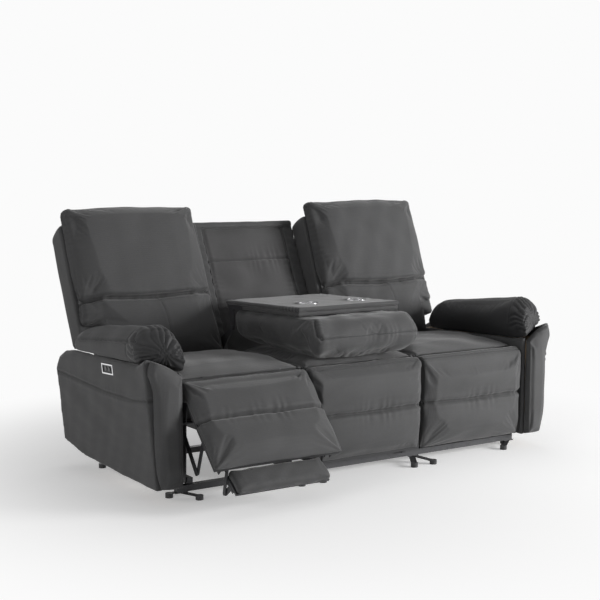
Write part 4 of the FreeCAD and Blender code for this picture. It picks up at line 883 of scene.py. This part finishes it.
class SOFA_OT_arms(bpy.types.Operator):
    """Upholstered arms: outer sides, inner sides and padded fronts"""

    bl_idname = "sofa.arms"
    bl_label = "Arms"

    def execute(self, context):
        for number, (side, sign) in enumerate(SIDES):
            outer = padding_over("arm_" + side + "_outer_cover", ["arm_outer_" + side], None, 3)
            band = [(y, arm_band(y)) for y in np.linspace(-2.0, 835.0, 22)]
            sew(outer, [band], lambda P: np.stack([P[:, 1], P[:, 2], P[:, 0] * sign], 1),
                lambda M: (M[:, 2] > 935.0) * 1.0, depth=5.5, width=5.0, puff=0.4, pucker=0.3,
                pitch=41.0, reach=5.0)
            wrinkle(outer, 81 + number, 170.0, 0.7)
            finish_piece(outer, "base", body_cloth(), ["arm_outer_" + side])
            band_line = [(sign * 985.0, y, arm_band(y)) for y in np.linspace(4.0, 825.0, 22)]
            lay_cord("arm_" + side + "_band_thread", outer, band_line, 0.8, "base", thread(), 0.2)
            plain_cover("arm_" + side + "_inner_cover", "arm_inner_" + side, "base",
                        0.0065, 2, 85 + number, 170.0, 0.5)
            front = padding_over("arm_" + side + "_front_cover", ["arm_front_" + side], 0.005, 4)
            plump(front, 3.0, keep=lambda P: P[:, 1] > -8.0, limit=6.0)
            wrinkle(front, 91 + number, 140.0, 0.7)
            finish_piece(front, "base", body_cloth(), ["arm_front_" + side])
        return {"FINISHED"}


def pad_seam(y):
    """Height of the seam between an arm pad's dark top and its side band."""
    return float(np.interp(y, PAD_SEAM_Y, PAD_SEAM_Z))


class SOFA_OT_arm_pads(bpy.types.Operator):
    """Stuffed arm pads with gathered front ends"""

    bl_idname = "sofa.arm_pads"
    bl_label = "Arm pads"

    def execute(self, context):
        for number, (side, sign) in enumerate(SIDES):
            node = "arm_pad_" + side
            piece = padding_over("arm_" + side + "_pad_upholstery", [node], 0.0045, 5)
            plump(piece, 4.0, keep=lambda P: outer_base(P, sign), limit=9.0)

            def across(P, sign=sign):
                return np.stack([P[:, 1], P[:, 2], P[:, 0] * sign], 1)

            seam = [(y, pad_seam(y)) for y in np.linspace(*PAD_SEAM_ENDS, 16)]
            sew(piece, [seam], across, lambda M: (M[:, 2] > 940.0) * 1.0, depth=3.5, width=4.0,
                puff=0.4, pucker=0.25, pitch=33.0, reach=5.0)
            self.gather(piece, sign)
            wrinkle(piece, 101 + number, 110.0, 0.9, (1.0, 0.6, 1.0))
            finish_piece(piece, "base", pad_cloth(), [node])
            piece.data.materials.append(body_cloth())
            self.two_tone(piece, sign)
            seam_line = [(sign * 995.0, y, pad_seam(y)) for y in np.linspace(*PAD_SEAM_ENDS, 16)]
            lay_cord("arm_" + side + "_pad_thread", piece, seam_line, 1.4, "base", thread(), 0.2)
        return {"FINISHED"}

    def gather(self, piece, sign):
        """Pleats that fan over the pad's front end and hang down its inner side."""
        P = points_of(piece)
        x = P[:, 0] * sign
        front = P[:, 1] - 0.42 * (x - 834.0)
        angle = np.arctan2(P[:, 2] - 560.0, x - 900.0)
        share = 1.0 / (1.0 + np.exp((front - 74.0) / 10.0))
        wave = np.sin(angle * 9.0 + 1.3 * np.sin(front / 21.0 + angle * 2.0) + 1.1 * np.sin(angle * 4.0))
        pleat = 1.0 - 2.0 * np.abs(wave) ** 0.8
        hoop = np.exp(-((front - 88.0) / 5.5) ** 2) + 0.5 * np.exp(-((front - 30.0) / 6.0) ** 2)
        move = -share * 3.4 * pleat - 2.6 * hoop * np.clip((P[:, 2] - 520.0) / 40.0, 0.2, 1.0)
        above = np.clip((P[:, 2] - 500.0) / 20.0, 0.0, 1.0)
        place_points(piece, P + outward(piece) * (move * above)[:, None])
        # painted shade: the pleats' hollows and the grooves across the pad's front end are marked darker
        shade_folds(piece, share * np.clip(pleat, 0, 1) * 0.45 + 0.45 * np.clip(hoop, 0, 1))

    def two_tone(self, piece, sign):
        """The side band below the seam has the lighter body cloth."""
        P = points_of(piece)
        mesh = piece.data
        index = np.empty(len(mesh.polygons) * 4, np.int32)
        if len(mesh.loops) != len(index):
            raise RuntimeError("the arm pad's mesh isn't all four-sided")
        mesh.loops.foreach_get("vertex_index", index)
        middle = P[index.reshape(-1, 4)].mean(1)
        height = np.interp(middle[:, 1], PAD_SEAM_Y, PAD_SEAM_Z)
        band = (middle[:, 0] * sign > 930.0) & (middle[:, 2] < height)
        band &= middle[:, 1] > PAD_SEAM_ENDS[0]
        mesh.polygons.foreach_set("material_index", band.astype(np.int32))


def outer_base(P, sign):
    """The underside of an arm pad, which lies on the arm."""
    x = P[:, 0] * sign
    lean = np.interp(P[:, 1], [0.0, 80.0], [0.5, 0.3])
    edge = np.interp(P[:, 1], [0.0, 80.0, 672.0], [550.0, 518.0, 500.0])
    top = edge - lean * np.maximum(0.0, 970.0 - x)
    return P[:, 2] < top + 12.0


class SOFA_OT_console(bpy.types.Operator):
    """The lowered console: padded table, covered core and stuffed back pillow"""

    bl_idname = "sofa.console"
    bl_label = "Console"

    def execute(self, context):
        table = padding_over("console_table_cover", ["console_table"], 0.004, 3)
        P = points_of(table)
        M = console_measure(P)
        corner = np.exp(-((M[:, 0] + 252.0) / 46.0) ** 2) * np.exp(-((M[:, 1] - 470.0) / 75.0) ** 2)
        side = np.clip((118.0 - M[:, 2]) / 6.0, 0, 1)
        wave = np.sin(M[:, 1] * 2 * math.pi / 24.0 + M[:, 0] / 9.0)
        move = 1.6 * corner * wave * (0.4 + 0.6 * side)
        place_points(table, P + outward(table) * move[:, None])
        wrinkle(table, 121, 140.0, 0.4)
        finish_piece(table, "console", body_cloth(), ["console_table"])

        plain_cover("console_core_cover", "console_core", "console",
                    0.0045, 2, 122, 90.0, 0.5)

        pillow = padding_over("console_pillow_upholstery", ["console_cushion"], 0.0055, 5)
        plump(pillow, 5.0, keep=lambda P: console_measure(P)[:, 2] > 78.0, limit=14.0)
        nose = [(x, 655.0 + 10.0 * (1 - (x / 266.0) ** 2), 4.0) for x in np.linspace(-232.0, 262.0, 22)]
        sew(pillow, [nose], console_measure, lambda M: (M[:, 1] > 560.0) * 1.0, depth=6.0, width=5.5,
            puff=0.4, pucker=0.9, pitch=31.0, reach=6.0)
        fold = [(-226.0, 600.0, 66.0), (-240.0, 628.0, 44.0), (-244.0, 645.0, 16.0),
                (-232.0, 655.0, 4.0)]
        sew(pillow, [fold], console_measure, None, depth=6.0, width=6.0, puff=0.5, pucker=1.2,
            pitch=22.0, reach=6.0)
        wrinkle(pillow, 123, 120.0, 1.4)
        finish_piece(pillow, "console", body_cloth(), ["console_cushion"])
        line = [console_place(*p) for p in fold + nose]
        lay_cord("console_pillow_piping", pillow, line, 2.2, "console", thread(), 0.2)
        return {"FINISHED"}


class SOFA_OT_middle_back(bpy.types.Operator):
    """The fixed middle back: rails, head band and the padded panel in the recess"""

    bl_idname = "sofa.middle_back"
    bl_label = "Middle back"

    def execute(self, context):
        rails = padding_over("middle_back_rail_covers", ["middle_back_frame"], 0.005, 3)
        P = points_of(rails)
        M = recess_measure(P)
        wave = np.sin(M[:, 1] * 2 * math.pi / 52.0 + M[:, 0] / 16.0 + np.sin(M[:, 1] / 60.0))
        share = np.clip((500.0 - M[:, 1]) / 40.0, 0, 1)
        place_points(rails, P + outward(rails) * (1.3 * wave * share)[:, None])
        wrinkle(rails, 131, 90.0, 0.6)
        P = points_of(rails)
        edge = np.clip((np.abs(P[:, :1]) - 250.0) / 14.0, 0, 1) * np.sign(P[:, :1])
        place_points(rails, P + edge * (3.0, 0.0, 0.0))
        finish_piece(rails, "base", body_cloth(), ["middle_back_frame"])

        panel = padding_over("middle_back_panel_upholstery", ["middle_back_panel"], 0.005, 3)

        def front(M):
            return np.clip((160.0 - M[:, 2]) / 10.0, 0, 1)

        seam = [(x, RECESS_SEAM) for x in (-216.0, 216.0)]
        sew(panel, [seam], recess_measure, front, depth=5.0, width=6.0, puff=0.3, pucker=1.2,
            pitch=36.0, reach=8.0)
        sides = [[(s * 206.0, -90.0), (s * 206.0, 515.0)] for s in (-1.0, 1.0)]
        sew(panel, sides, recess_measure, front, depth=2.5, width=6.0, puff=0.3, pucker=1.2,
            pitch=30.0, reach=6.0)
        wrinkle(panel, 133, 120.0, 1.3)
        finish_piece(panel, "base", recess_cloth(), ["middle_back_panel"])

        plain_cover("middle_back_rear_cover", "middle_back_cover", "base",
                    0.006, 1, 137, 200.0, 0.4)
        return {"FINISHED"}


class SOFA_OT_frame_finishes(bpy.types.Operator):
    """Finishes of the steel mechanism, wood frame, switches and feet"""

    bl_idname = "sofa.frame_finishes"
    bl_label = "Frame and fittings"

    def execute(self, context):
        hardware = context.scene.sofa_hardware
        steel = painted_steel("mechanism_steel", hardware.steel_colour)
        bright = bright_metal("bright_metal", hardware.bright_colour)
        plastic = moulded_plastic("black_plastic", hardware.plastic_colour)
        button = moulded_plastic("button_plastic", scaled(hardware.plastic_colour, 0.7), 0.3)
        wood = plywood("frame_wood", hardware.wood_colour)
        finishes = (
            (("seat_decks", "arm_boards", "middle_seat_box", "console_core", "footrest_board"), wood),
            (("cup_holders", "switch_bezels"), bright),
            (("foot_glides", "switch_housings", "actuators"), plastic),
            (("button_",), button),
        )
        for name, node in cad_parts.items():
            if node.hide_render:
                continue
            chosen = steel
            for starts, material in finishes:
                if name.startswith(starts):
                    chosen = material
            if name.startswith(("footrest_board", "console_core", "middle_seat_box")):
                chosen = moulded_plastic("black_backing", scaled(hardware.plastic_colour, 1.1), 0.8)
            node.data.materials.clear()
            node.data.materials.append(chosen)
        return {"FINISHED"}


class SOFA_OT_stage(bpy.types.Operator):
    """Pale floor, soft studio lamps and the camera"""

    bl_idname = "sofa.stage"
    bl_label = "Stage"

    def execute(self, context):
        stage = context.scene.sofa_stage
        self.floor(stage)
        self.surround(context.scene, stage)
        self.lamp("front_lamp", (4.5, -4.1, 1.5), (0.0, 0.0, 0.5), 2.0, stage.key_power)
        self.lamp("top_lamp", (0.6, 1.6, 4.0), (0.0, 0.1, 0.0), 3.4, stage.top_power)
        self.lamp("side_lamp", (-4.8, -1.6, 1.7), (0.0, 0.0, 0.5), 2.4, stage.side_power)
        camera = bpy.data.objects.new("photo_camera", bpy.data.cameras.new("photo_camera"))
        context.scene.collection.objects.link(camera)
        camera.location = stage.camera_place
        camera.rotation_euler = (math.pi / 2 - stage.camera_dip, 0.0, -stage.camera_turn)
        camera.data.lens = stage.lens
        camera.data.sensor_width = 36.0
        context.scene.camera = camera
        context.scene.view_settings.view_transform = "Standard"
        return {"FINISHED"}

    def lamp(self, name, place, aim, size, power):
        light = bpy.data.lights.new(name, "AREA")
        light.energy = power
        light.size = size
        lamp = bpy.data.objects.new(name, light)
        bpy.context.scene.collection.objects.link(lamp)
        lamp.location = place
        lamp.rotation_euler = (Vector(aim) - Vector(place)).to_track_quat("-Z", "Y").to_euler()

    def seen_directly(self, tree):
        """1 where the camera, a reflection or clear glass looks, else 0."""
        path = add(tree, "ShaderNodeLightPath")
        seen = calc(tree, "MAXIMUM", path.outputs["Is Camera Ray"], path.outputs["Is Glossy Ray"])
        return calc(tree, "MAXIMUM", seen, path.outputs["Is Transmission Ray"])

    def floor(self, stage):
        mesh = bpy.data.meshes.new("floor")
        bm = bmesh.new()
        bmesh.ops.create_grid(bm, x_segments=8, y_segments=8, size=30.0)
        bm.to_mesh(mesh)
        bm.free()
        floor = bpy.data.objects.new("floor", mesh)
        bpy.context.scene.collection.objects.link(floor)
        material, tree = start_material("pale_floor")
        end = add(tree, "ShaderNodeOutputMaterial")
        diffuse = add(tree, "ShaderNodeBsdfDiffuse")
        diffuse.inputs["Color"].default_value = (0.9, 0.9, 0.9, 1.0)
        glow = add(tree, "ShaderNodeEmission")
        glow.inputs["Color"].default_value = (stage.floor_glow,) * 3 + (1.0,)
        both = add(tree, "ShaderNodeAddShader")
        tree.links.new(diffuse.outputs[0], both.inputs[0])
        tree.links.new(glow.outputs[0], both.inputs[1])
        white = add(tree, "ShaderNodeEmission")
        white.inputs["Color"].default_value = PALE
        place = add(tree, "ShaderNodeNewGeometry").outputs["Position"]
        length = add(tree, "ShaderNodeVectorMath", operation="LENGTH")
        tree.links.new(place, length.inputs[0])
        fade = add(tree, "ShaderNodeMapRange", interpolation_type="SMOOTHSTEP")
        fade.inputs["From Min"].default_value = 0.85
        fade.inputs["From Max"].default_value = 2.1
        tree.links.new(length.outputs["Value"], fade.inputs["Value"])
        near_far = add(tree, "ShaderNodeMixShader")
        tree.links.new(fade.outputs["Result"], near_far.inputs[0])
        tree.links.new(both.outputs[0], near_far.inputs[1])
        tree.links.new(white.outputs[0], near_far.inputs[2])
        pick = add(tree, "ShaderNodeMixShader")
        tree.links.new(self.seen_directly(tree), pick.inputs[0])
        tree.links.new(diffuse.outputs[0], pick.inputs[1])
        tree.links.new(near_far.outputs[0], pick.inputs[2])
        tree.links.new(pick.outputs[0], end.inputs[0])
        mesh.materials.append(material)

    def surround(self, scene, stage):
        world = bpy.data.worlds.new("surround")
        world.use_nodes = True
        tree = world.node_tree
        tree.nodes.clear()
        seen = add(tree, "ShaderNodeBackground")
        seen.inputs["Color"].default_value = PALE
        lit = add(tree, "ShaderNodeBackground")
        lit.inputs["Strength"].default_value = stage.sky_level
        mix = add(tree, "ShaderNodeMixShader")
        end = add(tree, "ShaderNodeOutputWorld")
        tree.links.new(self.seen_directly(tree), mix.inputs[0])
        tree.links.new(lit.outputs[0], mix.inputs[1])
        tree.links.new(seen.outputs[0], mix.inputs[2])
        tree.links.new(mix.outputs[0], end.inputs[0])
        scene.world = world


OPERATORS = (
    SOFA_OT_seats,
    SOFA_OT_leg_covers,
    SOFA_OT_flip_pads,
    SOFA_OT_backs,
    SOFA_OT_arms,
    SOFA_OT_arm_pads,
    SOFA_OT_console,
    SOFA_OT_middle_back,
    SOFA_OT_frame_finishes,
    SOFA_OT_stage,
)


class SOFA_PT_panel(bpy.types.Panel):
    """Lists the sofa's pieces and their settings"""

    bl_idname = "SOFA_PT_panel"
    bl_label = "Reclining sofa"
    bl_space_type = "VIEW_3D"
    bl_region_type = "UI"
    bl_category = "Sofa"

    def draw(self, context):
        layout = self.layout
        for operator in OPERATORS:
            layout.operator(operator.bl_idname)
        for group in (context.scene.sofa_fabric, context.scene.sofa_form,
                      context.scene.sofa_hardware, context.scene.sofa_stage):
            column = layout.box().column()
            for key in group.bl_rna.properties.keys():
                if key not in ("rna_type", "name"):
                    column.prop(group, key)


GROUPS = (
    ("sofa_fabric", SofaFabric),
    ("sofa_form", SofaForm),
    ("sofa_hardware", SofaHardware),
    ("sofa_stage", SofaStage),
)


def register():
    for name, group in GROUPS:
        bpy.utils.register_class(group)
        setattr(bpy.types.Scene, name, PointerProperty(type=group))
    for operator in OPERATORS:
        bpy.utils.register_class(operator)
    bpy.utils.register_class(SOFA_PT_panel)


def unregister():
    bpy.utils.unregister_class(SOFA_PT_panel)
    for operator in reversed(OPERATORS):
        bpy.utils.unregister_class(operator)
    for name, group in reversed(GROUPS):
        delattr(bpy.types.Scene, name)
        bpy.utils.unregister_class(group)


def main():
    register()
    for operator in OPERATORS:
        group, name = operator.bl_idname.split(".")
        getattr(getattr(bpy.ops, group), name)()


if __name__ == "__main__":
    main()
